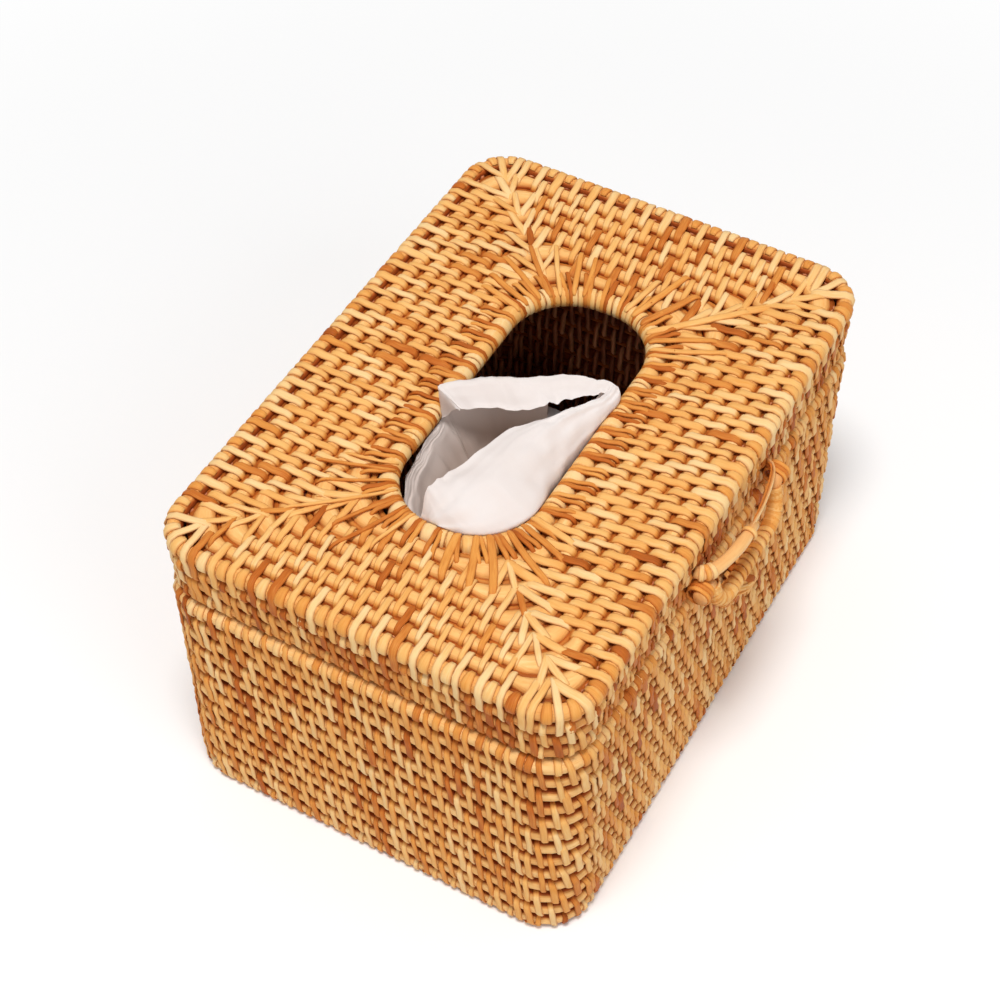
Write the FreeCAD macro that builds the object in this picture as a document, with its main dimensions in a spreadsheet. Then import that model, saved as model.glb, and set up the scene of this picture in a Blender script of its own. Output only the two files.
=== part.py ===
"""Woven rattan tissue box: a coiled box, a hinged coiled lid with an oblong opening, and a looped hasp.

Length runs along X, the clasp faces -Y, the hinge is at +Y and Z is up.
The origin is the middle of the underside. All sizes are millimetres.
"""
import FreeCAD, Part
import Sketcher
import os
from math import cos, pi, radians, sin, tan

DRIVING_SIZES = {
    "outer_length": 200.0,
    "outer_width": 140.0,
    "corner_radius": 16.5,
    "wall_rod": 5.8,
    "wall_pitch": 6.85,
    "wall_count": 13,
    "base_gap": 1.05,
    "base_count": 10,
    "seam_gap": 0.4,
    "skirt_pitch": 5.95,
    "skirt_count": 3,
    "edge_rise": 5.6,
    "lid_rod": 5.0,
    "lid_dish": 3.5,
    "top_count": 6,
    "lid_pitch": 5.93,
    "binding_thick": 0.6,
    "binding_play": 0.05,
    "lacing_thick": 0.5,
    "lacing_width": 2.6,
    "lacing_pitch": 6.6,
    "lacing_lift": 0.2,
    "lacing_end_gap": 2.2,
    "lashing_width": 18.0,
    "lashing_height": 21.0,
    "lashing_thick": 1.0,
    "lashing_corner": 3.0,
    "pull_span": 49.0,
    "pull_depth": 6.4,
    "pull_rod": 4.0,
    "pull_rise": 5.4,
    "eye_radius": 2.9,
    "eye_width": 4.0,
    "eye_lift": 1.2,
    "eye_clear": 1.0,
    "hasp_span": 53.0,
    "hasp_drop": 11.0,
    "hasp_rod": 4.0,
    "hasp_wrap": 0.5,
    "hasp_bend": 6.0,
    "hasp_lean": 16.0,
    "pivot_play": 0.1,
    "knot_width": 17.0,
    "knot_height": 13.6,
    "knot_depth": 8.4,
    "knot_clear": 2.2,
    "knot_shift": 3.0,
    "knot_bevel": 2.6,
    "cord_rod": 3.2,
    "cord_span": 21.4,
    "cord_sag": 9.2,
    "stack_room": 20.0,
    "stack_height": 18.0,
    "stack_bevel": 2.5,
    "loose_gap": 0.3,
    "paper_fold": 0.9,
    "paper_rise": 17.2,
}

ROD_SIDES = 8
LOOP_SIDES = 12
CORNER_CHORDS = 3
OPENING_CHORDS = 6
PULL_CHORDS = 8
# How nearly an oblong hoop's ends are full half circles.
END_ROUND_SHARE = 0.92
# How square the arch of the pull is: 1 is a plain half oval.
PULL_ROUND_SHARE = 0.8
# Place of each hinge lashing along the length, from the middle.
LASHING_SHARE = 0.275
# Reaches of the sheet in the opening: to its left end, of its fold to the right, to each side, and of its bends.
PAPER_END_SHARE = 0.885
PAPER_FOLD_SHARE = 0.365
PAPER_SIDE_SHARE = 0.57
PAPER_BEND_SHARE = 0.27
# Part of a rim's depth within which an edge counts as lying on it.
SAME_PLACE_SHARE = 0.001

doc = FreeCAD.newDocument("TissueBox")
sheet = doc.addObject("Spreadsheet::Sheet", "dims")
for row, (alias, number) in enumerate(DRIVING_SIZES.items(), start=1):
    sheet.set(f"A{row}", str(number))
    sheet.setAlias(f"A{row}", alias)
doc.recompute()

subparts = []


def value(expression):
    """Number that an expression over the sheet's sizes gives."""
    return float(sheet.evalExpression(expression))


def count(alias):
    """Whole number held in the sheet."""
    return int(round(value(f"dims.{alias}")))


# Heights and reaches that several pieces share, as expressions over the sheet.
WALL_X = "(dims.outer_length / 2 - dims.lacing_thick - dims.wall_rod / 2)"
WALL_Y = "(dims.outer_width / 2 - dims.lacing_thick - dims.wall_rod / 2)"
WALL_CORNER = "(dims.corner_radius - dims.lacing_thick - dims.wall_rod / 2)"
BASE_PITCH = f"({WALL_Y} / (dims.base_count + 1))"
BASE_ROD = f"({BASE_PITCH} - dims.base_gap)"
BODY_TOP = "(dims.wall_rod + (dims.wall_count - 1) * dims.wall_pitch)"
RIM_TOP = f"({BODY_TOP} + dims.lacing_thick)"
SKIRT_FIRST = f"({RIM_TOP} + dims.seam_gap + dims.wall_rod / 2)"
EDGE_Z = f"({SKIRT_FIRST} + (dims.skirt_count - 1) * dims.skirt_pitch + dims.edge_rise)"
RIM_X = f"({WALL_X} - (dims.top_count + 1) * dims.lid_pitch)"
RIM_Y = f"({WALL_Y} - (dims.top_count + 1) * dims.lid_pitch)"
OPENING_X = f"({RIM_X} - dims.lid_rod / 2 - dims.binding_thick)"
OPENING_Y = f"({RIM_Y} - dims.lid_rod / 2 - dims.binding_thick)"
RIM_CORNER = f"({RIM_Y} * {END_ROUND_SHARE})"
RIM_Z = f"({EDGE_Z} - dims.lid_dish)"
FRONT_FACE = "(-dims.outer_width / 2)"
BACK_FACE = "(dims.outer_width / 2)"
EYE_Z = f"({SKIRT_FIRST} - dims.wall_rod / 2 + dims.eye_lift + dims.eye_radius)"
PULL_Z = f"({EYE_Z} + dims.pull_rise)"
HASP_FOOT = f"({EYE_Z} - dims.hasp_drop - dims.hasp_rod / 2 - dims.hasp_wrap)"
KNOT_Z = f"({HASP_FOOT} - dims.knot_clear - dims.knot_height / 2)"


def origin_plane(body, role):
    """One of a body's own base planes."""
    return [item for item in body.Origin.OriginFeatures if item.Role == role][0]


def new_body(name):
    """Empty body that becomes the sub-part of that name."""
    body = doc.addObject("PartDesign::Body", name)
    body.Label = name
    subparts.append(body)
    return body


def new_sketch(body, suffix, role):
    """Sketch on one of the body's base planes."""
    sketch = body.newObject("Sketcher::SketchObject", f"{body.Name}_{suffix}")
    sketch.AttachmentSupport = [(origin_plane(body, role), "")]
    sketch.MapMode = "FlatFace"
    return sketch


def place(body, **expressions):
    """Bind the parts of a body's placement, such as z or angle, to the sheet."""
    for part, expression in expressions.items():
        path = "Placement.Rotation.Angle" if part == "angle" else f"Placement.Base.{part}"
        body.setExpression(path, expression)


def pin_coordinate(sketch, line, end, axis, expression):
    """Hold one coordinate of a line's end at the size that the expression gives."""
    amount = value(expression)
    if amount == 0:
        axis_line = -2 if axis == "X" else -1
        sketch.addConstraint(Sketcher.Constraint("PointOnObject", line, end, axis_line))
        return
    ends = (-1, 1, line, end) if amount > 0 else (line, end, -1, 1)
    constraint = Sketcher.Constraint(f"Distance{axis}", *ends, abs(amount))
    index = sketch.addConstraint(constraint)
    sign = "" if amount > 0 else "-"
    sketch.setExpression(f"Constraints[{index}]", f"{sign}({expression})")


def draw_outline(sketch, points, closed=True):
    """Straight-sided outline through points that are given as pairs of expressions."""
    first = sketch.GeometryCount
    corners = [FreeCAD.Vector(value(x), value(y), 0) for x, y in points]
    followers = corners[1:] + corners[:1] if closed else corners[1:]
    for start, end in zip(corners, followers):
        sketch.addGeometry(Part.LineSegment(start, end))
    lines = len(followers)
    for i in range(lines if closed else lines - 1):
        joined = Sketcher.Constraint("Coincident", first + i, 2, first + (i + 1) % lines, 1)
        sketch.addConstraint(joined)
    for i, (x, y) in enumerate(points):
        line, end = (first + i, 1) if i < lines else (first + i - 1, 2)
        pin_coordinate(sketch, line, end, "X", x)
        pin_coordinate(sketch, line, end, "Y", y)


def ring_points(sides, inner_radius, middle_x="0", middle_y="0"):
    """Corners of a regular section with flats facing the axes, at the given radius to its flats."""
    points = []
    for i in range(sides):
        turn = 2 * pi * (i + 0.5) / sides
        reach_share = 1 / cos(pi / sides)
        x_share = round(reach_share * cos(turn), 6)
        y_share = round(reach_share * sin(turn), 6)
        x = f"{middle_x} + {inner_radius} * ({x_share})"
        y = f"{middle_y} + {inner_radius} * ({y_share})"
        points.append((x, y))
    return points


def loop_points(half_x, half_y, corner, chords):
    """Corners of a rounded oblong, anticlockwise, with each round corner cut into chords."""
    points = []
    for quarter, (side_x, side_y) in enumerate(((1, 1), (-1, 1), (-1, -1), (1, -1))):
        steps = range(chords + 1)
        for step in steps if quarter % 2 == 0 else reversed(steps):
            turn = 0.5 * pi * step / chords
            x_share = round(1 - cos(turn), 6)
            y_share = round(1 - sin(turn), 6)
            x = f"{side_x} * ({half_x} - {corner} * {x_share})"
            y = f"{side_y} * ({half_y} - {corner} * {y_share})"
            points.append((x, y))
    return points


def sweep(body, profile, spine, kind="Additive"):
    """Rod, or the bore of a sleeve, made by carrying a section along a path with mitred turns."""
    pipe = body.newObject(f"PartDesign::{kind}Pipe", f"{body.Name}_{kind}")
    pipe.Profile = profile
    pipe.Spine = spine
    pipe.Transition = "Right corner"


def hoop(name, half_x, half_y, corner, height, rod, chords=CORNER_CHORDS, bore=None):
    """Closed rattan hoop lying flat at a height; one with a bore is a sleeve round another rod."""
    body = new_body(name)
    spine = new_sketch(body, "spine", "XY_Plane")
    draw_outline(spine, loop_points(half_x, half_y, corner, chords))
    for kind, thickness in (("Additive", rod), ("Subtractive", bore)):
        if thickness:
            profile = new_sketch(body, f"{kind}_profile", "XZ_Plane")
            draw_outline(profile, ring_points(ROD_SIDES, f"({thickness} / 2)", middle_x=half_x))
            sweep(body, profile, spine, kind)
    place(body, z=height)


def add_group(name, solids):
    """Sub-part of several like solids."""
    group = doc.addObject("Part::Feature", name)
    group.Label = name
    group.Shape = Part.makeCompound(solids)
    group.Placement = FreeCAD.Placement()
    subparts.append(group)


def strip(profile, foot, outward, width):
    """Flat peel strip: a profile of (outward, up) points, as wide as given, at a foot point."""
    along = FreeCAD.Vector(-outward.y, outward.x, 0)
    start = foot - along * (width / 2)
    corners = [start + outward * u + FreeCAD.Vector(0, 0, v) for u, v in profile]
    face = Part.Face(Part.makePolygon(corners + corners[:1]))
    return face.extrude(along * width)


def even_places(half_run, pitch):
    """Places spread evenly over a run from minus to plus half its length."""
    amount = max(1, round(2 * half_run / pitch))
    step = 2 * half_run / amount
    return [step * (i + 0.5) - half_run for i in range(amount)]


def chord_turns():
    """Directions, in a quarter turn, that the flats of a round corner's chords face."""
    return [0.5 * pi * (i + 0.5) / CORNER_CHORDS for i in range(CORNER_CHORDS)]


def wall_stations(half_x, half_y, corner, pitch):
    """Foot points and outward directions of the lacing columns around a wall."""
    run_x = half_x - corner
    run_y = half_y - corner
    stations = []
    for side in (1, -1):
        for x in even_places(run_x, pitch):
            stations.append((FreeCAD.Vector(x, side * half_y, 0), FreeCAD.Vector(0, side, 0)))
        for y in even_places(run_y, pitch):
            stations.append((FreeCAD.Vector(side * half_x, y, 0), FreeCAD.Vector(side, 0, 0)))
    flat_reach = corner * cos(pi / 4 / CORNER_CHORDS)
    for side_x in (1, -1):
        for side_y in (1, -1):
            middle = FreeCAD.Vector(side_x * run_x, side_y * run_y, 0)
            for turn in chord_turns():
                outward = FreeCAD.Vector(side_x * cos(turn), side_y * sin(turn), 0)
                stations.append((middle + outward * flat_reach, outward))
    return stations


def build_walls():
    """Stacked hoops of the box's wall."""
    for i in range(count("wall_count")):
        height = f"dims.wall_rod / 2 + {i} * dims.wall_pitch"
        hoop(f"wall_hoop_{i + 1:02d}", WALL_X, WALL_Y, WALL_CORNER, height, "dims.wall_rod")


def build_base():
    """Flat base: a straight middle rod and hoops that grow round it to the wall."""
    middle = f"({WALL_X} - {WALL_Y})"
    core = new_body("base_core_rod")
    profile = new_sketch(core, "profile", "YZ_Plane")
    draw_outline(profile, ring_points(ROD_SIDES, f"({BASE_ROD} / 2)"))
    pad = core.newObject("PartDesign::Pad", "base_core_rod_pad")
    pad.Profile = profile
    pad.Midplane = True
    pad.setExpression("Length", f"2 * {middle}")
    place(core, z=f"{BASE_ROD} / 2")
    for i in range(1, count("base_count") + 1):
        half_y = f"({BASE_PITCH} * {i})"
        half_x = f"({middle} + {half_y})"
        corner = f"min({half_y} * {END_ROUND_SHARE}; {WALL_CORNER})"
        hoop(f"base_hoop_{i:02d}", half_x, half_y, corner, f"{BASE_ROD} / 2", BASE_ROD)


def build_lid_hoops():
    """Skirt, shoulder, dished top and the hoop round the opening."""
    for i in range(count("skirt_count")):
        height = f"{SKIRT_FIRST} + {i} * dims.skirt_pitch"
        hoop(f"skirt_hoop_{i + 1:02d}", WALL_X, WALL_Y, WALL_CORNER, height, "dims.wall_rod")
    hoop("lid_edge_hoop", WALL_X, WALL_Y, WALL_CORNER, EDGE_Z, "dims.lid_rod")
    for i in range(1, count("top_count") + 1):
        step = f"{i} / (dims.top_count + 1)"
        half_x = f"({RIM_X} + ({WALL_X} - {RIM_X}) * {step})"
        half_y = f"({RIM_Y} + ({WALL_Y} - {RIM_Y}) * {step})"
        corner = f"({RIM_CORNER} + ({WALL_CORNER} - {RIM_CORNER}) * {step})"
        height = f"{RIM_Z} + dims.lid_dish * {step}"
        hoop(f"lid_hoop_{i:02d}", half_x, half_y, corner, height, "dims.lid_rod", OPENING_CHORDS)
    hoop("opening_hoop", RIM_X, RIM_Y, RIM_CORNER, RIM_Z, "dims.lid_rod", OPENING_CHORDS)
    sleeve = "(dims.lid_rod + 2 * dims.binding_thick)"
    bore = "(dims.lid_rod + 2 * dims.binding_play)"
    hoop("opening_binding", RIM_X, RIM_Y, RIM_CORNER, RIM_Z, sleeve, OPENING_CHORDS, bore)


def build_wall_lacing():
    """Peel strips down the outside of the wall, over its rim and down the inside."""
    half_rod = value("dims.wall_rod / 2")
    thick = value("dims.lacing_thick")
    face = half_rod + thick
    foot = half_rod * (1 - tan(pi / ROD_SIDES))
    inner_foot = value("dims.wall_rod / 2 + dims.wall_pitch") - half_rod * tan(pi / ROD_SIDES)
    body_top = value(BODY_TOP)
    rim_top = value(RIM_TOP)
    profile = [(face, foot), (face, rim_top), (-face, rim_top), (-face, inner_foot),
               (-half_rod, inner_foot), (-half_rod, body_top), (half_rod, body_top), (half_rod, foot)]
    stations = wall_stations(value(WALL_X), value(WALL_Y), value(WALL_CORNER), value("dims.lacing_pitch"))
    width = value("dims.lacing_width")
    add_group("wall_lacing", [strip(profile, place_at, outward, width) for place_at, outward in stations])


def build_skirt_lacing():
    """Peel strips down the outside of the lid's skirt."""
    half_rod = value("dims.wall_rod / 2")
    face = half_rod + value("dims.lacing_thick")
    low = value(SKIRT_FIRST) - half_rod * tan(pi / ROD_SIDES)
    high = value(EDGE_Z) + value("dims.lid_rod / 2") * tan(pi / ROD_SIDES)
    profile = [(half_rod, low), (face, low), (face, high), (half_rod, high)]
    stations = wall_stations(value(WALL_X), value(WALL_Y), value(WALL_CORNER), value("dims.lacing_pitch"))
    width = value("dims.lacing_width")
    add_group("skirt_lacing", [strip(profile, place_at, outward, width) for place_at, outward in stations])


def sloped_strip(inner, outer, width, thick):
    """Straight strip between two points, each at the strip's underside."""
    level = FreeCAD.Vector(outer.x - inner.x, outer.y - inner.y, 0)
    reach = level.Length
    profile = [(0, inner.z), (reach, outer.z), (reach, outer.z + thick), (0, inner.z + thick)]
    return strip(profile, FreeCAD.Vector(inner.x, inner.y, 0), level.normalize(), width)


def build_lid_lacing():
    """Peel strips across the lid's top, with a fan in each corner of the dished panel."""
    wall_x, wall_y, wall_corner = value(WALL_X), value(WALL_Y), value(WALL_CORNER)
    rim_x, rim_y, rim_corner = value(RIM_X), value(RIM_Y), value(RIM_CORNER)
    width, thick = value("dims.lacing_width"), value("dims.lacing_thick")
    pitch, end_gap = value("dims.lacing_pitch"), value("dims.lacing_end_gap")
    lift = value("dims.lid_rod / 2 + dims.lacing_lift")
    low, high = value(RIM_Z) + lift, value(EDGE_Z) + lift
    binding_half = value("dims.lid_rod / 2 + dims.binding_thick")
    edge_flat = value("dims.lid_rod / 2") * tan(pi / ROD_SIDES)
    spans = {"x": (rim_x - rim_corner, wall_x - wall_corner, rim_y, wall_y),
             "y": (rim_y - rim_corner, wall_y - wall_corner, rim_x, wall_x)}
    solids = []
    for axis, (rim_run, wall_run, rim_half, wall_half) in spans.items():
        slope = (high - low) / (wall_half - rim_half)
        for place_at in even_places(wall_run, pitch):
            beyond = max(0.0, abs(place_at) - rim_run) / (wall_run - rim_run)
            start = rim_half + beyond * (wall_half - rim_half)
            start += binding_half + end_gap if beyond == 0 else end_gap
            finish = wall_half + edge_flat
            start_z = low + slope * (start - rim_half)
            finish_z = low + slope * (finish - rim_half)
            if finish - start < width:
                continue
            for side in (1, -1):
                inner = FreeCAD.Vector(place_at, side * start, start_z)
                outer = FreeCAD.Vector(place_at, side * finish, finish_z)
                if axis == "y":
                    inner = FreeCAD.Vector(side * start, place_at, start_z)
                    outer = FreeCAD.Vector(side * finish, place_at, finish_z)
                solids.append(sloped_strip(inner, outer, width, thick))
    for turn in chord_turns():
        rim_point = FreeCAD.Vector(rim_x - rim_corner + rim_corner * cos(turn),
                                   rim_y - rim_corner + rim_corner * sin(turn), low)
        wall_reach = wall_corner * cos(pi / 4 / CORNER_CHORDS)
        wall_point = FreeCAD.Vector(wall_x - wall_corner + wall_reach * cos(turn),
                                    wall_y - wall_corner + wall_reach * sin(turn), high)
        run = wall_point - rim_point
        start = rim_point + run * ((binding_half + end_gap) / run.Length)
        for side_x in (1, -1):
            for side_y in (1, -1):
                inner = FreeCAD.Vector(side_x * start.x, side_y * start.y, start.z)
                outer = FreeCAD.Vector(side_x * wall_point.x, side_y * wall_point.y, wall_point.z)
                solids.append(sloped_strip(inner, outer, width, thick))
    add_group("lid_lacing", solids)


def build_base_lacing():
    """Peel strips that bind the base hoops, laid on the base's upper face."""
    wall_x, wall_y, corner = value(WALL_X), value(WALL_Y), value(WALL_CORNER)
    pitch = 2 * value("dims.lacing_pitch")
    width, thick = value("dims.lacing_width"), value("dims.lacing_thick")
    end_gap = value("dims.lacing_end_gap")
    level = value(BASE_ROD)
    margin = value("dims.wall_rod / 2 + dims.lacing_thick + dims.loose_gap")
    middle = wall_x - wall_y
    solids = []
    for x in even_places(wall_x - corner, pitch):
        start = abs(x) - middle + end_gap
        finish = wall_y - margin
        if start < width:
            ends = [(-finish, finish)]
        elif finish - start > width:
            ends = [(start, finish), (-start, -finish)]
        else:
            ends = []
        for inner, outer in ends:
            inner_end = FreeCAD.Vector(x, inner, level)
            outer_end = FreeCAD.Vector(x, outer, level)
            solids.append(sloped_strip(inner_end, outer_end, width, thick))
    for y in even_places(wall_y - corner, pitch):
        start = middle + abs(y) + end_gap
        finish = wall_x - margin
        if finish - start < width:
            continue
        for side in (1, -1):
            inner = FreeCAD.Vector(side * start, y, level)
            outer = FreeCAD.Vector(side * finish, y, level)
            solids.append(sloped_strip(inner, outer, width, thick))
    add_group("base_lacing", solids)


def build_hinge():
    """Two flat peel lashings across the seam at the back, which bend as the lid opens."""
    for name, side in (("hinge_lashing_left", -1), ("hinge_lashing_right", 1)):
        body = new_body(name)
        outline = new_sketch(body, "outline", "XZ_Plane")
        half_x, half_z, cut = "dims.lashing_width / 2", "dims.lashing_height / 2", "dims.lashing_corner"
        quarters = ((1, 1), (-1, 1), (-1, -1), (1, -1))
        points = []
        for i, (sx, sz) in enumerate(quarters):
            pair = [(f"{sx} * ({half_x})", f"{sz} * ({half_z} - {cut})"),
                    (f"{sx} * ({half_x} - {cut})", f"{sz} * ({half_z})")]
            points += pair if i % 2 == 0 else pair[::-1]
        draw_outline(outline, points)
        pad = body.newObject("PartDesign::Pad", f"{name}_pad")
        pad.Profile = outline
        pad.Reversed = True
        pad.setExpression("Length", "dims.lashing_thick")
        seam = f"{RIM_TOP} + dims.seam_gap / 2"
        place(body, x=f"{side} * dims.outer_length * {LASHING_SHARE}", y=BACK_FACE, z=seam)


def build_pull():
    """Smooth rod arch on the front of the lid, for lifting it."""
    body = new_body("lid_pull")
    spine = new_sketch(body, "spine", "XY_Plane")
    half, depth = "dims.pull_span / 2", "dims.pull_depth"
    points = [(half, "0")]
    for i in range(PULL_CHORDS + 1):
        turn = pi * (i + 0.5) / (PULL_CHORDS + 1)
        x_share = round(cos(turn) / cos(pi / 2 / (PULL_CHORDS + 1)), 6)
        y_share = round(sin(turn) ** PULL_ROUND_SHARE, 6)
        points.append((f"{half} * ({x_share})", f"-{depth} * {y_share}"))
    points.append((f"-{half}", "0"))
    draw_outline(spine, points, closed=False)
    profile = new_sketch(body, "profile", "XZ_Plane")
    draw_outline(profile, ring_points(LOOP_SIDES, "(dims.pull_rod / 2)", middle_x=half))
    sweep(body, profile, spine)
    place(body, y=FRONT_FACE, z=PULL_Z)


def build_hasp_eyes():
    """Two bound eyes on the lid's skirt that hold the hasp's ends."""
    outer = value("dims.eye_radius")
    bore = value("dims.hasp_rod / 2 + dims.pivot_play")
    eye_width = value("dims.eye_width")
    along = FreeCAD.Vector(1, 0, 0)
    solids = []
    for side in (1, -1):
        start_x = side * value("dims.hasp_span / 2") - eye_width / 2
        start = FreeCAD.Vector(start_x, value(FRONT_FACE) - outer, value(EYE_Z))
        eye = Part.makeCylinder(outer, eye_width, start, along)
        solids.append(eye.cut(Part.makeCylinder(bore, eye_width, start, along)))
    add_group("hasp_eyes", solids)


HASP_LEG = "(dims.hasp_span / 2 - dims.eye_width / 2 - dims.hasp_rod / 2 - dims.eye_clear)"
HASP_END = "(dims.hasp_span / 2 + dims.eye_width / 2)"
WRAP_START = "(-dims.eye_radius - dims.loose_gap)"


def hasp_path(ends):
    """Path of the hasp loop in its own plane, from the points of its right end to those of its left."""
    half, drop, bend = HASP_LEG, "dims.hasp_drop", "dims.hasp_bend"
    right = ends + [(half, f"-({drop} - {bend})")]
    for turn in (radians(30), radians(60)):
        x_share = round(1 - cos(turn), 6)
        y_share = round(1 - sin(turn), 6)
        right.append((f"{half} - {bend} * {x_share}", f"-({drop} - {bend} * {y_share})"))
    right.append((f"{half} - {bend}", f"-{drop}"))
    left = [(f"-({x})", y) for x, y in reversed(right)]
    return right + left


def place_hasp(body):
    """Hang a hasp piece on its eyes, leaning a little out from the wall."""
    body.Placement = FreeCAD.Placement(FreeCAD.Vector(), FreeCAD.Rotation(FreeCAD.Vector(1, 0, 0), 90))
    place(body, y=f"{FRONT_FACE} - dims.eye_radius", z=EYE_Z, angle="90 - dims.hasp_lean")


def build_hasp():
    """Hasp loop: a bent rod with turned-out ends, bound with peel between them."""
    core = new_body("hasp_core")
    spine = new_sketch(core, "spine", "XY_Plane")
    bend_start = f"({HASP_LEG} + dims.hasp_rod / 2)"
    turned_end = [(HASP_END, "0"), (bend_start, "0"), (HASP_LEG, "-dims.hasp_rod / 2")]
    draw_outline(spine, hasp_path(turned_end), closed=False)
    profile = new_sketch(core, "profile", "YZ_Plane")
    profile.setExpression("AttachmentOffset.Base.z", HASP_END)
    draw_outline(profile, ring_points(LOOP_SIDES, "(dims.hasp_rod / 2)"))
    sweep(core, profile, spine)
    place_hasp(core)

    wrap = new_body("hasp_wrap")
    spine = new_sketch(wrap, "spine", "XY_Plane")
    draw_outline(spine, hasp_path([(HASP_LEG, WRAP_START)]), closed=False)
    sections = (("Additive", "(dims.hasp_rod / 2 + dims.hasp_wrap)"),
                ("Subtractive", "(dims.hasp_rod / 2 + dims.binding_play)"))
    for kind, radius in sections:
        profile = new_sketch(wrap, f"{kind}_profile", "XZ_Plane")
        profile.setExpression("AttachmentOffset.Base.z", f"-{WRAP_START}")
        draw_outline(profile, ring_points(LOOP_SIDES, radius, middle_x=HASP_LEG))
        sweep(wrap, profile, spine, kind)
    place_hasp(wrap)


def build_knot():
    """Knotted button on the box that the hasp hooks, and the cord wraps below it."""
    body = new_body("clasp_knot")
    outline = new_sketch(body, "outline", "XZ_Plane")
    points = []
    for i in range(LOOP_SIDES):
        turn = 2 * pi * (i + 0.5) / LOOP_SIDES
        x = f"dims.knot_width / 2 * ({round(cos(turn), 6)})"
        y = f"dims.knot_height / 2 * ({round(sin(turn), 6)})"
        points.append((x, y))
    draw_outline(outline, points)
    pad = body.newObject("PartDesign::Pad", "clasp_knot_pad")
    pad.Profile = outline
    pad.setExpression("Length", "dims.knot_depth")
    doc.recompute()
    depth = value("dims.knot_depth")
    on_rim = [abs(edge.BoundBox.YMax + depth) < depth * SAME_PLACE_SHARE for edge in pad.Shape.Edges]
    bevel = body.newObject("PartDesign::Chamfer", "clasp_knot_bevel")
    bevel.Base = (pad, [f"Edge{i + 1}" for i, found in enumerate(on_rim) if found])
    bevel.setExpression("Size", "dims.knot_bevel")
    place(body, x="dims.knot_shift", y=FRONT_FACE, z=KNOT_Z)

    cord = new_body("knot_cord")
    spine = new_sketch(cord, "spine", "XZ_Plane")
    half, sag = "dims.cord_span / 2", "dims.cord_sag"
    path = []
    for i in range(PULL_CHORDS + 1):
        turn = pi * i / PULL_CHORDS
        path.append((f"{half} * ({round(cos(turn), 6)})", f"-{sag} * {round(sin(turn), 6)}"))
    draw_outline(spine, path, closed=False)
    profile = new_sketch(cord, "profile", "XY_Plane")
    draw_outline(profile, ring_points(ROD_SIDES, "(dims.cord_rod / 2)", middle_x=half))
    sweep(cord, profile, spine)
    place(cord, x="dims.knot_shift", y=f"{FRONT_FACE} - dims.cord_rod / 2", z=KNOT_Z)


def build_tissue():
    """Folded tissue pack on the base, and the sheet that stands up through the opening."""
    stack = new_body("tissue_stack")
    outline = new_sketch(stack, "outline", "XY_Plane")
    half_x, half_y = f"({WALL_X} - dims.stack_room)", f"({WALL_Y} - dims.stack_room)"
    quarters = ((1, 1), (-1, 1), (-1, -1), (1, -1))
    draw_outline(outline, [(f"{sx} * {half_x}", f"{sy} * {half_y}") for sx, sy in quarters])
    pad = stack.newObject("PartDesign::Pad", "tissue_stack_pad")
    pad.Profile = outline
    pad.setExpression("Length", "dims.stack_height")
    doc.recompute()
    bevel = stack.newObject("PartDesign::Chamfer", "tissue_stack_bevel")
    bevel.Base = (pad, [f"Edge{i + 1}" for i in range(len(pad.Shape.Edges))])
    bevel.setExpression("Size", "dims.stack_bevel")
    floor = f"({BASE_ROD} + dims.lacing_thick + dims.loose_gap)"
    place(stack, z=floor)

    folded = new_body("tissue_sheet")
    outline = new_sketch(folded, "outline", "XY_Plane")
    left, right = f"({OPENING_X} * {PAPER_END_SHARE})", f"({OPENING_X} * {PAPER_FOLD_SHARE})"
    front = back = f"({OPENING_Y} * {PAPER_SIDE_SHARE})"
    fold, corner = "dims.paper_fold", f"({OPENING_Y} * {PAPER_BEND_SHARE})"
    draw_outline(outline, [
        (f"-{left}", f"-{fold}"), (f"-{left} + {corner}", f"-{front}"), (f"{right} - {corner}", f"-{front}"),
        (right, f"-{front} + {corner}"), (f"-{corner}", back), (f"-{corner} - {fold} * 2", back),
        (f"{right} - {fold} * 2", f"-{front} + {corner}"), (f"{right} - {corner}", f"-{front} + {fold}"),
        (f"-{left} + {corner} + {fold}", f"-{front} + {fold}"), (f"-{left} + {fold}", f"-{fold}")])
    pad = folded.newObject("PartDesign::Pad", "tissue_sheet_pad")
    pad.Profile = outline
    foot = f"({floor} + dims.stack_height + dims.loose_gap)"
    pad.setExpression("Length", f"{RIM_Z} + dims.paper_rise - {foot}")
    place(folded, z=foot)


def check_and_write():
    """Stop on any failed feature, then write each sub-part's solid."""
    doc.recompute()
    failed = [item.Name for item in doc.Objects if {"Invalid", "Error"} & set(item.State)]
    if failed:
        raise RuntimeError(f"features failed: {failed}")
    os.makedirs("parts", exist_ok=True)
    for item in subparts:
        shape = item.Shape
        if shape.isNull() or not shape.isValid() or not shape.Solids:
            raise RuntimeError(f"no valid solid in {item.Label}")
        shape.exportStep(os.path.join("parts", f"{item.Label}.step"))
    print(f"{len(subparts)} sub-parts written")


build_walls()
build_base()
build_lid_hoops()
build_wall_lacing()
build_skirt_lacing()
build_lid_lacing()
build_base_lacing()
build_hinge()
build_pull()
build_hasp_eyes()
build_hasp()
build_knot()
build_tissue()
check_and_write()
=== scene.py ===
import random
from collections import namedtuple
from math import copysign, cos, pi, radians, sin, sqrt

import bpy
from mathutils import Matrix, Vector, noise


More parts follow.
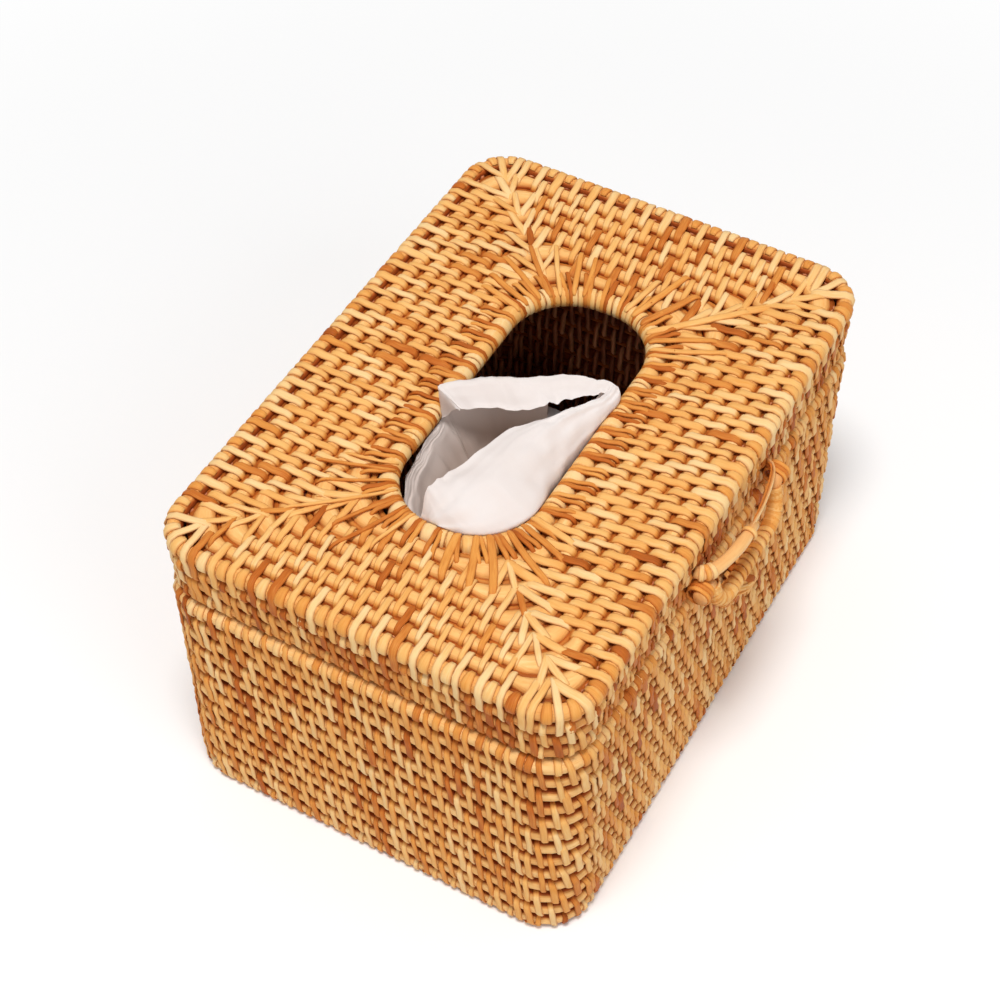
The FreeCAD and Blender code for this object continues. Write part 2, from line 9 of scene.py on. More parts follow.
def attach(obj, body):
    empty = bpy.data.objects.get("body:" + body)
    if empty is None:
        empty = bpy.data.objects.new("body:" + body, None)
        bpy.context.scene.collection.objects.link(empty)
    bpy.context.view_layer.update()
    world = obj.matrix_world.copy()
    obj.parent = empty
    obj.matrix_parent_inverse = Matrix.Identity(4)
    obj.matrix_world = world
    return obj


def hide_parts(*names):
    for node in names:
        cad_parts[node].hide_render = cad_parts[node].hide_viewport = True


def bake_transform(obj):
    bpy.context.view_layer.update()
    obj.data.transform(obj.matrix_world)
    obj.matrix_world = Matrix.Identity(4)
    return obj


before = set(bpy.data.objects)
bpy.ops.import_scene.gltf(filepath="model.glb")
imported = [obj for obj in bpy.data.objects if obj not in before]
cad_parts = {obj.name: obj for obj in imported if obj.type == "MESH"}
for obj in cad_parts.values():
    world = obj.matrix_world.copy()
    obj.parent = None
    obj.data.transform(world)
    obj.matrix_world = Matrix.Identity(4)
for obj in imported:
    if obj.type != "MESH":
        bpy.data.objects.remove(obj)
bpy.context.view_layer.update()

rng = random.Random(41)
draw = rng.uniform
MM = 0.001
UP, FRONT = Vector((0, 0, 1)), Vector((0, -1, 0))

# Sizes in millimetres, the same as the CAD's.
WALL_HALF_X, WALL_HALF_Y, WALL_CORNER = 96.6, 66.6, 13.1
WALL_ROD, WALL_PITCH, WALL_COUNT = 2.9, 6.85, 13
SKIRT_HEIGHTS = (91.8, 97.75, 103.7)
LID_ROD = 2.5
EDGE_Z, RING_Z = 109.3, 105.8
RING_HALF_X, RING_HALF_Y, RING_CORNER = 55.09, 25.09, 23.08
LID_COUNT = 6
BASE_COUNT, BASE_PITCH, BASE_CORE_HALF = 10, 6.0545, 30.0
LACING_PITCH = 6.6
FRONT_FACE = -70.0


def add_object(name, content):
    made = bpy.data.objects.new(name, content)
    bpy.context.scene.collection.objects.link(made)
    return made


# ---- materials

def new_material(name):
    material = bpy.data.materials.new(name)
    material.use_nodes = True
    tree = material.node_tree
    tree.nodes.clear()
    return material, tree


def node(tree, kind, sockets=None, **settings):
    """A shader node with its settings, and with sockets set or linked by name or number."""
    made = tree.nodes.new("ShaderNode" + kind)
    for key, setting in settings.items():
        setattr(made, key, setting)
    for key, source in (sockets or {}).items():
        if isinstance(source, bpy.types.NodeSocket):
            tree.links.new(source, made.inputs[key])
        else:
            made.inputs[key].default_value = source
    return made


def ramp(tree, stops, share):
    """Colour read from stops at a share from 0 to 1."""
    made = node(tree, "ValToRGB", {"Fac": share})
    elements = made.color_ramp.elements
    while len(elements) < len(stops):
        elements.new(0.5)
    for element, (place, colour) in zip(elements, stops):
        element.position = place
        element.color = (*colour, 1.0)
    return made.outputs["Color"]


def math_node(tree, operation, *sources, clamp=False):
    return node(tree, "Math", dict(enumerate(sources)), operation=operation, use_clamp=clamp).outputs[0]


def mix_colour(tree, share, first, second):
    return node(tree, "Mix", {"Factor": share, "A": first, "B": (*second, 1.0)},
                data_type="RGBA", blend_type="MIX").outputs["Result"]


def seen_rays(tree):
    """1 for rays of the camera, and for those that reach it by a gloss or through a surface."""
    rays = node(tree, "LightPath").outputs
    seen = math_node(tree, "ADD", rays["Is Camera Ray"], rays["Is Glossy Ray"])
    return math_node(tree, "ADD", seen, rays["Is Transmission Ray"], clamp=True)


GRAIN_STRETCH, GRAIN_DETAIL, GRAIN_BREAK, GRAIN_DEPTH = (0.16, 2.6, 0.0), 4.0, 0.62, 0.0003
PATCH_STRETCH, PATCH_DETAIL, PATCH_SHARE = (0.09, 0.25, 0.0), 2.0, 0.36
EDGE_SHADE_POWER, CANE_SPECULAR = 1.6, 0.12
SMOOTHER, ROUGHER = 0.08, 0.1


def fibre_material(name, stops, grain, roughness, bump, edge_shade_colour=(0.0, 0.0, 0.0), edge_shade_share=0.0):
    """Cane with grain that runs along each strip, and painted shade that darkens it towards its edges."""
    material, tree = new_material(name)
    tone = node(tree, "Attribute", attribute_name="tone").outputs["Fac"]
    fibre = node(tree, "Attribute", attribute_name="fibre").outputs["Vector"]

    def streaks(stretch, **detail):
        spread = node(tree, "Mapping", {"Vector": fibre, "Scale": stretch}).outputs["Vector"]
        return node(tree, "TexNoise", {"Vector": spread, "Scale": 1.0, **detail}).outputs["Fac"]

    lines = streaks(GRAIN_STRETCH, Detail=GRAIN_DETAIL, Roughness=GRAIN_BREAK)
    patches = streaks(PATCH_STRETCH, Detail=PATCH_DETAIL)
    lines_part = math_node(tree, "MULTIPLY_ADD", lines, grain, -grain / 2)
    patch_part = math_node(tree, "MULTIPLY_ADD", patches, PATCH_SHARE, -PATCH_SHARE / 2)
    shade = math_node(tree, "ADD", math_node(tree, "ADD", tone, lines_part), patch_part, clamp=True)
    # Painted shade: each strip's colour darkens from its middle towards its edges.
    across = node(tree, "SeparateXYZ", {"Vector": fibre}).outputs["Z"]
    edge = math_node(tree, "POWER", across, EDGE_SHADE_POWER, clamp=True)
    edge = math_node(tree, "MULTIPLY", edge, edge_shade_share)
    rough = node(tree, "MapRange",
                 {"Value": lines, "To Min": roughness - SMOOTHER, "To Max": roughness + ROUGHER})
    relief = node(tree, "Bump", {"Strength": bump, "Distance": GRAIN_DEPTH, "Height": lines})
    shader = node(tree, "BsdfPrincipled", {
        "Base Color": mix_colour(tree, edge, ramp(tree, stops, shade), edge_shade_colour),
        "Roughness": rough.outputs["Result"], "Normal": relief.outputs["Normal"],
        "Specular IOR Level": CANE_SPECULAR})
    node(tree, "OutputMaterial", {"Surface": shader.outputs["BSDF"]})
    return material


PEEL = fibre_material(
    "peel",
    [(0.0, (0.13, 0.018, 0.003)), (0.28, (0.50, 0.13, 0.018)), (0.55, (0.82, 0.37, 0.08)),
     (0.8, (0.94, 0.57, 0.19)), (1.0, (0.98, 0.75, 0.37))],
    edge_shade_colour=(0.52, 0.125, 0.015), edge_shade_share=0.62, grain=0.42, roughness=0.55, bump=0.45)
CORE = fibre_material(
    "core",
    [(0.0, (0.12, 0.014, 0.002)), (0.35, (0.44, 0.09, 0.013)), (0.65, (0.80, 0.37, 0.10)),
     (0.85, (0.88, 0.49, 0.17)), (1.0, (0.94, 0.61, 0.27))],
    grain=0.5, roughness=0.52, bump=0.6)
INSIDE = fibre_material(
    "inside",
    [(0.0, (0.30, 0.085, 0.04)), (0.5, (0.58, 0.20, 0.09)), (1.0, (0.80, 0.34, 0.15))],
    edge_shade_colour=(0.15, 0.035, 0.012), edge_shade_share=0.3, grain=0.34, roughness=0.6, bump=0.3)
SMOOTH = fibre_material(
    "smooth_rod",
    [(0.0, (0.35, 0.09, 0.02)), (0.4, (0.66, 0.27, 0.075)), (0.75, (0.86, 0.49, 0.19)),
     (1.0, (0.93, 0.64, 0.31))],
    grain=0.25, roughness=0.36, bump=0.15)

CLOUD_SCALE, CLOUD_DETAIL, FUZZ_SCALE, FUZZ_DETAIL = 45.0, 5.0, 2400.0, 3.0
FUZZ_BUMP, FUZZ_DEPTH = 0.12, 0.0002
PAPER_ROUGHNESS, PAPER_SPECULAR = 0.9, 0.15
DEEP_SHADE_FROM, DEEP_SHADE_TO = 0.109, 0.092


def paper_material(name, light, shade, translucent, deep_shade):
    """Tissue paper in soft clouds of two shades, with painted shade: a darker, browner colour low in the box.
    """
    material, tree = new_material(name)
    place = node(tree, "TexCoord").outputs["Object"]
    clouds = node(tree, "TexNoise", {"Vector": place, "Scale": CLOUD_SCALE, "Detail": CLOUD_DETAIL})
    fuzz = node(tree, "TexNoise", {"Vector": place, "Scale": FUZZ_SCALE, "Detail": FUZZ_DETAIL})
    height = node(tree, "SeparateXYZ", {"Vector": place}).outputs["Z"]
    # Painted shade: between these heights the paper turns to its deep colour as it goes down into the box.
    low = node(tree, "MapRange", {"Value": height, "From Min": DEEP_SHADE_FROM, "From Max": DEEP_SHADE_TO})
    colours = ramp(tree, [(0.3, shade), (0.7, light)], clouds.outputs["Fac"])
    tint = mix_colour(tree, low.outputs["Result"], colours, deep_shade)
    relief = node(tree, "Bump",
                  {"Strength": FUZZ_BUMP, "Distance": FUZZ_DEPTH, "Height": fuzz.outputs["Fac"]})
    shader = node(tree, "BsdfPrincipled", {
        "Base Color": tint, "Roughness": PAPER_ROUGHNESS, "Specular IOR Level": PAPER_SPECULAR,
        "Normal": relief.outputs["Normal"]})
    through = node(tree, "BsdfTranslucent", {"Color": tint})
    mix = node(tree, "MixShader",
               {"Fac": translucent, 1: shader.outputs["BSDF"], 2: through.outputs["BSDF"]})
    node(tree, "OutputMaterial", {"Surface": mix.outputs["Shader"]})
    return material


PAPER = paper_material("paper", light=(0.85, 0.785, 0.755), shade=(0.80, 0.715, 0.675),
                       deep_shade=(0.62, 0.49, 0.42), translucent=0.12)
# The pack lies below these heights, so it shows only its painted shade colour.
STACK = paper_material("stack_paper", light=(0.92, 0.90, 0.88), shade=(0.86, 0.83, 0.80),
                       deep_shade=(0.80, 0.74, 0.71), translucent=0.05)


# ---- strands

STRIP = ((-0.5, -0.4), (-0.48, 0.12), (-0.28, 0.44), (0.28, 0.44), (0.48, 0.12), (0.5, -0.4))
THIN_STRIP = ((-0.5, -0.2), (0.0, 0.5), (0.5, -0.2))


def round_section(sides):
    return tuple((0.5 * cos(2 * pi * i / sides), 0.5 * sin(2 * pi * i / sides)) for i in range(sides))


ROUND = round_section(12)
SMALL_ROUND = round_section(8)


def each(setting, count):
    """A list as it is, or one setting repeated."""
    return setting if isinstance(setting, (list, tuple)) else [setting] * count


def band_faces(low, high, count):
    """Faces between two rings of points, from the numbers of their first points."""
    return [(low + k, low + (k + 1) % count, high + (k + 1) % count, high + k) for k in range(count)]


def add_piece(name, mesh, material, body, slot, *replaced):
    mesh.materials.append(material)
    made = add_object(name, mesh)
    if body:
        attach(made, body)
    if replaced:
        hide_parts(*replaced)
    return made


class Strands:
    """Gathers swept strips into one mesh, with fibre and tone kept at each point."""

    def __init__(self):
        self.points, self.faces, self.fibre, self.tone = [], [], [], []

    def sweep(self, path, normals, widths, thicks, section, tones, closed=False, lit_share=1.0):
        """A section along a path. Tones go with the section's points, the other settings with the path's."""
        start, count, sides = len(self.points), len(path), len(section)
        normals, widths, thicks, lit_share = (each(setting, count) for setting in (normals, widths, thicks, lit_share))
        tones = each(tones, sides)
        along, shift = 0.0, draw(0, 500)
        for i, point in enumerate(path):
            before = path[i - 1] if i or closed else point
            after = path[(i + 1) % count] if i < count - 1 or closed else point
            forward = (after - before).normalized()
            side = forward.cross(normals[i]).normalized()
            above = side.cross(forward)
            if i:
                along += (point - path[i - 1]).length
            for (x, y), tone in zip(section, tones):
                self.points.append((point + side * (x * widths[i]) + above * (y * thicks[i])) * MM)
                self.fibre += along + shift, x * widths[i] + 3 * y * thicks[i], min(1.0, 2 * abs(x))
                # The tone is scaled down here for painted shadow where a strip turns in behind a rod.
                self.tone.append(tone * lit_share[i])
        for i in range(count if closed else count - 1):
            low, high = start + i * sides, start + (i + 1) % count * sides
            self.faces += band_faces(low, high, sides)
        if not closed:
            self.faces.append(tuple(range(start + sides - 1, start - 1, -1)))
            last = start + (count - 1) * sides
            self.faces.append(tuple(range(last, last + sides)))

    def piece(self, name, body, slot, *replaced, material=PEEL):
        mesh = bpy.data.meshes.new(name)
        mesh.from_pydata(self.points, [], self.faces, shade_flat=False)
        fibre = mesh.attributes.new("fibre", "FLOAT_VECTOR", "POINT")
        fibre.data.foreach_set("vector", self.fibre)
        tone = mesh.attributes.new("tone", "FLOAT", "POINT")
        tone.data.foreach_set("value", self.tone)
        return add_piece(name, mesh, material, body, slot, *replaced)


# ---- hoops

MITRE = 0.7
MITRE_FROM = 3.0


class Hoop(namedtuple("Hoop", "half_x half_y corner z radius")):
    """A rounded rectangle of rod at one height."""

    def straight(self):
        return self.half_x - self.corner, self.half_y - self.corner

    def side_point(self, axis, sign, along):
        if axis == "x":
            return Vector((along, sign * self.half_y, self.z)), Vector((0, sign, 0))
        return Vector((sign * self.half_x, along, self.z)), Vector((sign, 0, 0))

    def corner_point(self, sign_x, sign_y, turn):
        out = Vector((sign_x * cos(turn), sign_y * sin(turn), 0))
        run_x, run_y = self.straight()
        centre = Vector((sign_x * run_x, sign_y * run_y, self.z))
        return centre + out * self.corner, out

    def nearest(self, point):
        """The point of the hoop that is closest to a point outside it."""
        sign_x, sign_y = copysign(1, point.x), copysign(1, point.y)
        across, along = abs(point.x), abs(point.y)
        run_x, run_y = self.straight()
        if across <= run_x:
            return Vector((point.x, sign_y * self.half_y, self.z))
        if along <= run_y:
            return Vector((sign_x * self.half_x, point.y, self.z))
        ray = Vector((across - run_x, along - run_y)).normalized() * self.corner
        return Vector((sign_x * (run_x + ray.x), sign_y * (run_y + ray.y), self.z))

    def opposite(self, point, axis):
        """The point of the hoop straight across from a point of a side, held at the middle of the corner."""
        run_x, run_y = self.straight()
        along, run, rest = (point.x, run_x, run_y) if axis == "x" else (point.y, run_y, run_x)
        past = min(max(0.0, abs(along) - run), self.corner * MITRE)
        along = copysign(min(abs(along), run + self.corner * MITRE), along)
        depth = rest + sqrt(self.corner ** 2 - past ** 2)
        if axis == "x":
            return Vector((along, copysign(depth, point.y), self.z))
        return Vector((copysign(depth, point.x), along, self.z))

    def outline(self, step=7.0, corner_steps=8):
        """Points round the hoop with their outward directions, anticlockwise from the right front corner."""
        places = []
        run_x, run_y = self.straight()
        for sign_x, sign_y, axis in ((1, -1, "y"), (1, 1, "x"), (-1, 1, "y"), (-1, -1, "x")):
            run, sign, going = (run_x, sign_y, -sign_y) if axis == "x" else (run_y, sign_x, sign_x)
            for i in range(corner_steps + 1):
                share = i / corner_steps
                turn = (share if axis == "x" else 1 - share) * pi / 2
                places.append(self.corner_point(sign_x, sign_y, turn))
            count = max(1, int(2 * run / step))
            for i in range(1, count):
                places.append(self.side_point(axis, sign, going * run * (2 * i / count - 1)))
        return places


# The direction of a rod's painted light, out and up, and where on it the painted shade turns from dark to
# pale.
FACINGS = {"side": (1.0, 0.0, 0.32, 0.92), "up": (0.0, 1.0, 0.15, 0.75), "both": (0.7, 0.7, -0.5, 0.3),
           "down": (0.0, -1.0, 0.15, 0.75)}
ROD_SHADE_TONE, ROD_TONES = 0.1, (0.74, 0.92)
SHAKE_SCALE, SHAKE_SHARE, UNEVEN_SCALE, UNEVEN = 0.045, 0.6, 0.06, 0.03
GAP_WIDTH = 2.2


def smoothstep(low, high, number):
    share = min(1.0, max(0.0, (number - low) / (high - low)))
    return share * share * (3 - 2 * share)


def rod_shade_tones(base, facing):
    """Painted light and shade round a rod's section: pale where it faces out, dark towards its neighbours and
    inside.
    """
    out, up, low, high = FACINGS[facing]
    tones = []
    for i in range(len(ROUND)):
        turn = 2 * pi * i / len(ROUND)
        # Painted shade: the tone drops where the rod's surface turns away from its pale, lit side.
        lit = smoothstep(low, high, cos(turn) * out + sin(turn) * up)
        tones.append(ROD_SHADE_TONE + (base - ROD_SHADE_TONE) * lit)
    return tones


def hoop_rod(hoop, name, body, facing, wobble=0.16, widen=0.0, pale=1.0):
    """The core rod of a hoop, a little uneven as cane is, and widened in its corners by a share."""
    strands = Strands()
    seed = Vector([draw(-50, 50) for _ in range(3)])
    path, widths, thicks = [], [], []
    for point, out in hoop.outline():
        shake = noise.noise_vector(point * SHAKE_SCALE + seed) * wobble
        path.append(point + out * shake.x * SHAKE_SHARE + UP * shake.z * SHAKE_SHARE)
        thicks.append(2 * hoop.radius * (1 + UNEVEN * noise.noise(point * UNEVEN_SCALE + seed)))
        widths.append(thicks[-1] * (1 + widen * 2 * abs(out.x * out.y)))
    base = draw(*ROD_TONES) * pale
    # The rod's tones carry painted light and shade round its section.
    strands.sweep(path, UP, widths, thicks, ROUND, rod_shade_tones(base, facing), closed=True)
    strands.piece(name, body, "rattan_core", name.replace("rod", "hoop"), material=CORE)


def gap_runs(strands, rows, inward_of, reach, tones=(0.0, 0.2)):
    """The inner runs of the lacing that close the gaps between neighbouring hoops, darkened as painted shade
    in the gaps.
    """
    for first, second in zip(rows, rows[1:]):
        outer, inner = (second, first) if second.half_x >= first.half_x else (first, second)
        path = [(point + inner.nearest(point)) / 2 + inward_of(out) * reach for point, out in outer.outline()]
        strands.sweep(path, UP, GAP_WIDTH, GAP_WIDTH, SMALL_ROUND, draw(*tones), closed=True)


# ---- stitches

PLAIN_TUCK, INNER_TUCK, SHORT_TUCK, LONG_TUCK = 105, 82, 10, 125
STRIP_THICK, COARSE_THICK, COARSE_LIFT, INSIDE_STRIP = 0.62, 0.7, 0.35, 2.2
SHADOW, SHADOW_FROM, SHADOW_TO = 0.85, 40, 95
SHARP_TURN, EVEN = 0.9, (1.0, 1.0, 1.0, 1.0)
STRAY, SIDE_PAST, CORNER_PITCH, CORNER_SHIFT, CORNER_STRAY = 0.35, 0.8, 0.92, 0.9, 0.04
ROD_WRAP_PARTS, ROD_WRAP_LIFT, ROD_WRAP_THICK, ROD_WRAP_STRAY = 7, 0.35, 0.8, 0.1


def along_of(out):
    """The level direction along a side, from its outward direction."""
    return Vector((-out.y, out.x, 0))


def half_pitch(row):
    """The offset of a row, since every other row is set half a pitch over."""
    return 0.5 * (row % 2)


def ring_round(centre, first, second, reach, slide, amount, sides):
    """Points of a slanting wrap round a rod, with their outward directions."""
    path, rays = [], []
    for i in range(sides):
        turn = 2 * pi * i / sides
        ray = first * cos(turn) + second * sin(turn)
        path.append(centre + ray * reach + slide * (amount * sin(turn)))
        rays.append(ray)
    return path, rays


def lace(strands, centres, radii, tangent, outs, width, thick=STRIP_THICK, tone=0.6, lift=0.3, lean=0.0,
         bow=0.0, tuck=(PLAIN_TUCK, PLAIN_TUCK), dip=0.3, taper=0.6, steps=3, section=STRIP, roll=0.0):
    """A peel strip laid over a run of neighbouring rods, tucked in behind the first and the last."""
    path, normals, lit_share = [], [], []
    gaps = [(b - a).normalized() for a, b in zip(centres, centres[1:])]
    aways = [(out - gap * out.dot(gap)).normalized() for out, gap in zip(each(outs, len(gaps)), gaps)]

    def add(centre, ray, reach, shade=1.0):
        path.append(centre + ray * reach)
        normals.append(ray)
        lit_share.append(shade)

    def round_rod(centre, radius, away, forward, angles):
        # Painted shadow: the strip darkens as it turns in behind a rod, except on long tucks.
        shadow = SHADOW if max(map(abs, angles)) < LONG_TUCK else 0.0
        for angle in angles:
            turn = radians(angle)
            ray = away * cos(turn) + forward * sin(turn)
            add(centre, ray, radius + lift, 1 - shadow * smoothstep(SHADOW_FROM, SHADOW_TO, abs(angle)))

    round_rod(centres[0], radii[0], aways[0], gaps[0], [-tuck[0] * (1 - i / steps) for i in range(steps + 1)])
    for i in range(1, len(centres)):
        add((centres[i - 1] + centres[i]) / 2, aways[i - 1], (radii[i - 1] + radii[i]) / 2 + lift - dip)
        if i < len(centres) - 1:
            add(centres[i], aways[i - 1], radii[i] + lift)
            if aways[i].dot(aways[i - 1]) < SHARP_TURN:
                add(centres[i], (aways[i - 1] + aways[i]).normalized(), radii[i] + lift)
                add(centres[i], aways[i], radii[i] + lift)
    round_rod(centres[-1], radii[-1], aways[-1], gaps[-1], [tuck[1] * i / steps for i in range(steps + 1)])
    last = len(path) - 1
    widths = []
    for i in range(last + 1):
        share = i / last
        sway = lean * 0.5 * sin(pi * (share - 0.5)) + bow * sin(pi * share)
        path[i] = path[i] + tangent * sway
        if roll:
            normals[i] = (normals[i] + tangent * roll).normalized()
        widths.append(width * (taper + (1 - taper) * sin(pi * share) ** 0.6))
    thicks = [thick * (0.75 + 0.25 * w / width) for w in widths]
    strands.sweep(path, normals, widths, thicks, section, tone, lit_share=lit_share)


def peel_tone(brown=0.1, low=0.5, high=0.98):
    """A strip's tone: a share of brown ones, a tenth of tan ones, and the rest between low and high."""
    pick = rng.random()
    if pick < brown:
        return draw(0.16, 0.36)
    if pick < brown + 0.1:
        return draw(0.3, 0.5)
    return draw(low, high)


def stations(first, second, offset):
    """Matching places on two hoops: evenly along the outer one, and facing them on the inner one."""
    found = []
    outer, inner = (second, first) if second.half_x >= first.half_x else (first, second)

    def keep(point, out):
        apart = outer.half_x - inner.half_x > MITRE_FROM
        axis = "x" if abs(out.y) > abs(out.x) else "y"
        mate = inner.opposite(point, axis) if apart else inner.nearest(point)
        pair = (mate, point) if outer is second else (point, mate)
        spread = Vector((point.x - mate.x, point.y - mate.y, 0))
        found.append((*pair, spread.normalized() if spread.length > 1 else out))

    for axis, run in zip("xy", outer.straight()):
        count = int(run / LACING_PITCH) + 1
        for sign in (-1, 1):
            for k in range(-count, count + 1):
                along = (k + offset) * LACING_PITCH + draw(-STRAY, STRAY)
                if abs(along) <= run + SIDE_PAST:
                    keep(*outer.side_point(axis, sign, along))
    count = max(2, round(outer.corner * pi / 2 / (LACING_PITCH * CORNER_PITCH)))
    for sign_x in (-1, 1):
        for sign_y in (-1, 1):
            for k in range(count):
                share = (k + 0.5 + (offset - 0.25) * CORNER_SHIFT) / count
                turn = min(1.0, max(0.0, share + draw(-CORNER_STRAY, CORNER_STRAY))) * pi / 2
                keep(*outer.corner_point(sign_x, sign_y, turn))
    return found


def by_side(size, out, shares):
    """A strip's width or lean on its side of the box, from shares for the front, back, left and right."""
    front, back, left, right = shares
    if abs(out.y) > abs(out.x):
        return size * (front if out.y < 0 else back)
    return size * (left if out.x < 0 else right)


def stitch_row(strands, first, second, offset, facing, width, tuck=(PLAIN_TUCK, PLAIN_TUCK), coarse=False,
               brown=0.1, lean=1.1, low=0.5, sides=EVEN, leans=EVEN, inner_tuck=(INNER_TUCK, INNER_TUCK)):
    """One row of stitches over two neighbouring hoops."""
    radii = [first.radius, second.radius]
    for a, b, out in stations(first, second, offset):
        away = {"out": out, "in": -out, "up": UP, "down": -UP}[facing]
        if coarse:
            lace(strands, [a, b], radii, along_of(out), away, width, thick=COARSE_THICK, tone=peel_tone(brown),
                 lift=COARSE_LIFT, lean=draw(-1, 1), tuck=inner_tuck, steps=2, section=THIN_STRIP)
            continue
        wide = by_side(width, out, sides)
        sway = by_side(lean, out, leans)
        lace(strands, [a, b], radii, along_of(out), away, wide * draw(0.84, 1.16),
             thick=STRIP_THICK * draw(0.85, 1.15), tone=peel_tone(brown, low),
             lean=sway + draw(-0.7, 0.7), bow=draw(-0.3, 0.3), tuck=tuck, roll=draw(-0.22, 0.22))


def inside_rows(strands, rows, facing, shift, first_tuck=INNER_TUCK):
    """Coarse stitches on the inner side of a run of hoops, cut short at the last one."""
    for i, (first, second) in enumerate(zip(rows, rows[1:])):
        tuck = (INNER_TUCK if i else first_tuck, SHORT_TUCK if second is rows[-1] else INNER_TUCK)
        stitch_row(strands, first, second, half_pitch(i + shift), facing, INSIDE_STRIP, coarse=True,
                   inner_tuck=tuck)


def rod_wraps(strands, hoop, offset, forward, width, span, brown=0.1):
    """Single wraps round one hoop, over a span of angles from its outer side."""
    for point, _, out in stations(hoop, hoop, offset):
        path, normals, widths = [], [], []
        for i in range(ROD_WRAP_PARTS + 1):
            share = i / ROD_WRAP_PARTS
            turn = radians(span[0] + (span[1] - span[0]) * share)
            ray = out * cos(turn) + forward * sin(turn)
            stray = draw(-ROD_WRAP_STRAY, ROD_WRAP_STRAY)
            path.append(point + ray * (hoop.radius + ROD_WRAP_LIFT) + along_of(out) * stray)
            normals.append(ray)
            widths.append(width * (0.6 + 0.4 * sin(pi * share)))
        strands.sweep(path, normals, widths, ROD_WRAP_THICK, STRIP, peel_tone(brown))


# ---- box wall

WALL_SIDES, WALL_LEANS = (1.3, 1.2, 1.1, 1.1), (1.35, 1.3, 1.0, 1.0)
VISIBLE_ROD, FOOT_ROD, FOOT_Z, RIM_ROD, RIM_PROUD = 2.6, 2.3, 3.2, 2.65, 0.2
WALL_STRIP, WALL_LEAN, WALL_BROWN = 1.8, -2.2, 0.07
RIM_WRAP, RIM_SPAN, FOOT_SPAN = 2.3, (-95, 200), (-95, 140)
RIM_TUCK, WALL_GAP = 165, 0.7


def wall_hoop(proud, z, radius):
    return Hoop(WALL_HALF_X + proud, WALL_HALF_Y + proud, WALL_CORNER + proud, z, radius)


wall_hoops = []
for i in range(WALL_COUNT):
    rim = i == WALL_COUNT - 1
    proud = RIM_PROUD if rim else 0.0
    radius, z = RIM_ROD if rim else VISIBLE_ROD, WALL_ROD + WALL_PITCH * i
    if i == 0:
        radius, z = FOOT_ROD, FOOT_Z
    wall_hoops.append(wall_hoop(proud, z, radius))
    hoop_rod(wall_hoops[-1], f"wall_rod_{i + 1:02d}", "box", "both" if rim else "side")

wall_stitches, wall_inside, wall_gaps = Strands(), Strands(), Strands()
for i in range(WALL_COUNT - 1):
    stitch_row(wall_stitches, wall_hoops[i], wall_hoops[i + 1], half_pitch(i), "out", WALL_STRIP,
               tuck=(PLAIN_TUCK, RIM_TUCK if i == WALL_COUNT - 2 else PLAIN_TUCK), brown=WALL_BROWN,
               sides=WALL_SIDES, lean=WALL_LEAN, leans=WALL_LEANS)
rod_wraps(wall_stitches, wall_hoops[-1], 0.0, UP, RIM_WRAP, RIM_SPAN)
rod_wraps(wall_stitches, wall_hoops[0], 0.5, -UP, WALL_STRIP, FOOT_SPAN)
wall_stitches.piece("wall_stitches", "box", "rattan_peel", "wall_lacing")
inside_rows(wall_inside, wall_hoops, "in", 1)
# Dark runs in the wall's gaps: painted shade.
gap_runs(wall_gaps, wall_hoops, lambda out: -out, WALL_GAP)
wall_gaps.piece("wall_shaded_gap_runs", "box", "rattan_peel")
wall_inside.piece("wall_inside_stitches", "box", "rattan_peel", material=INSIDE)

# ---- base

BASE_Z, BASE_ROD, BASE_CORNER, BASE_WOBBLE = 2.95, 2.15, 0.92, 0.1
CORE_WIDTH, CORE_PARTS, CORE_SWAY, CORE_TONE = 4.3, 12, 0.12, 0.85
MIDDLE_HALF, MIDDLE_CORNER, MIDDLE_ROD = 0.6, 0.5, 1.9

base_hoops = []
for i in range(1, BASE_COUNT + 1):
    half_y = BASE_PITCH * i
    corner = min(BASE_CORNER * half_y, WALL_CORNER)
    base_hoops.append(Hoop(BASE_CORE_HALF + half_y, half_y, corner, BASE_Z, BASE_ROD))
    hoop_rod(base_hoops[-1], f"base_rod_{i:02d}", "box", "down", wobble=BASE_WOBBLE)

core_rod = Strands()
core_path = [Vector((-BASE_CORE_HALF + 2 * BASE_CORE_HALF * i / CORE_PARTS, CORE_SWAY * sin(i), BASE_Z))
             for i in range(CORE_PARTS + 1)]
# Painted shade round the middle rod's section.
core_rod.sweep(core_path, UP, CORE_WIDTH, CORE_WIDTH, ROUND, rod_shade_tones(CORE_TONE, "down"))
core_rod.piece("base_middle_rod", "box", "rattan_core", "base_core_rod", material=CORE)

base_stitches, base_inside = Strands(), Strands()
middle = Hoop(BASE_CORE_HALF + MIDDLE_HALF, MIDDLE_HALF, MIDDLE_CORNER, BASE_Z, MIDDLE_ROD)
rows = [middle] + base_hoops + [wall_hoops[0]]
for i in range(len(rows) - 1):
    stitch_row(base_stitches, rows[i], rows[i + 1], half_pitch(i), "down", INSIDE_STRIP, coarse=True)
    if i < len(rows) - 2:
        stitch_row(base_inside, rows[i], rows[i + 1], half_pitch(i + 1), "up", INSIDE_STRIP, coarse=True)
base_stitches.piece("base_stitches", "box", "rattan_peel", "base_lacing")
base_inside.piece("base_inside_stitches", "box", "rattan_peel", material=INSIDE)

# ---- lid

LID_SIDES = (1.3, 1.15, 0.95, 1.1)
SKIRT_INSETS, SKIRT_PALE, EDGE_PALE = (1.1, 0.8, 0.3), 0.72, 0.88
LID_HOOP_ROD, CORNER_STEP, INNERMOST_WIDEN, LID_WIDEN, RING_WOBBLE = 2.35, 3.4, 0.95, 0.7, 0.05
SKIRT_STRIP, SKIRT_LEAN, SKIRT_BROWN, SKIRT_LOW, HEM_TUCK = 1.85, -1.8, 0.28, 0.4, 150
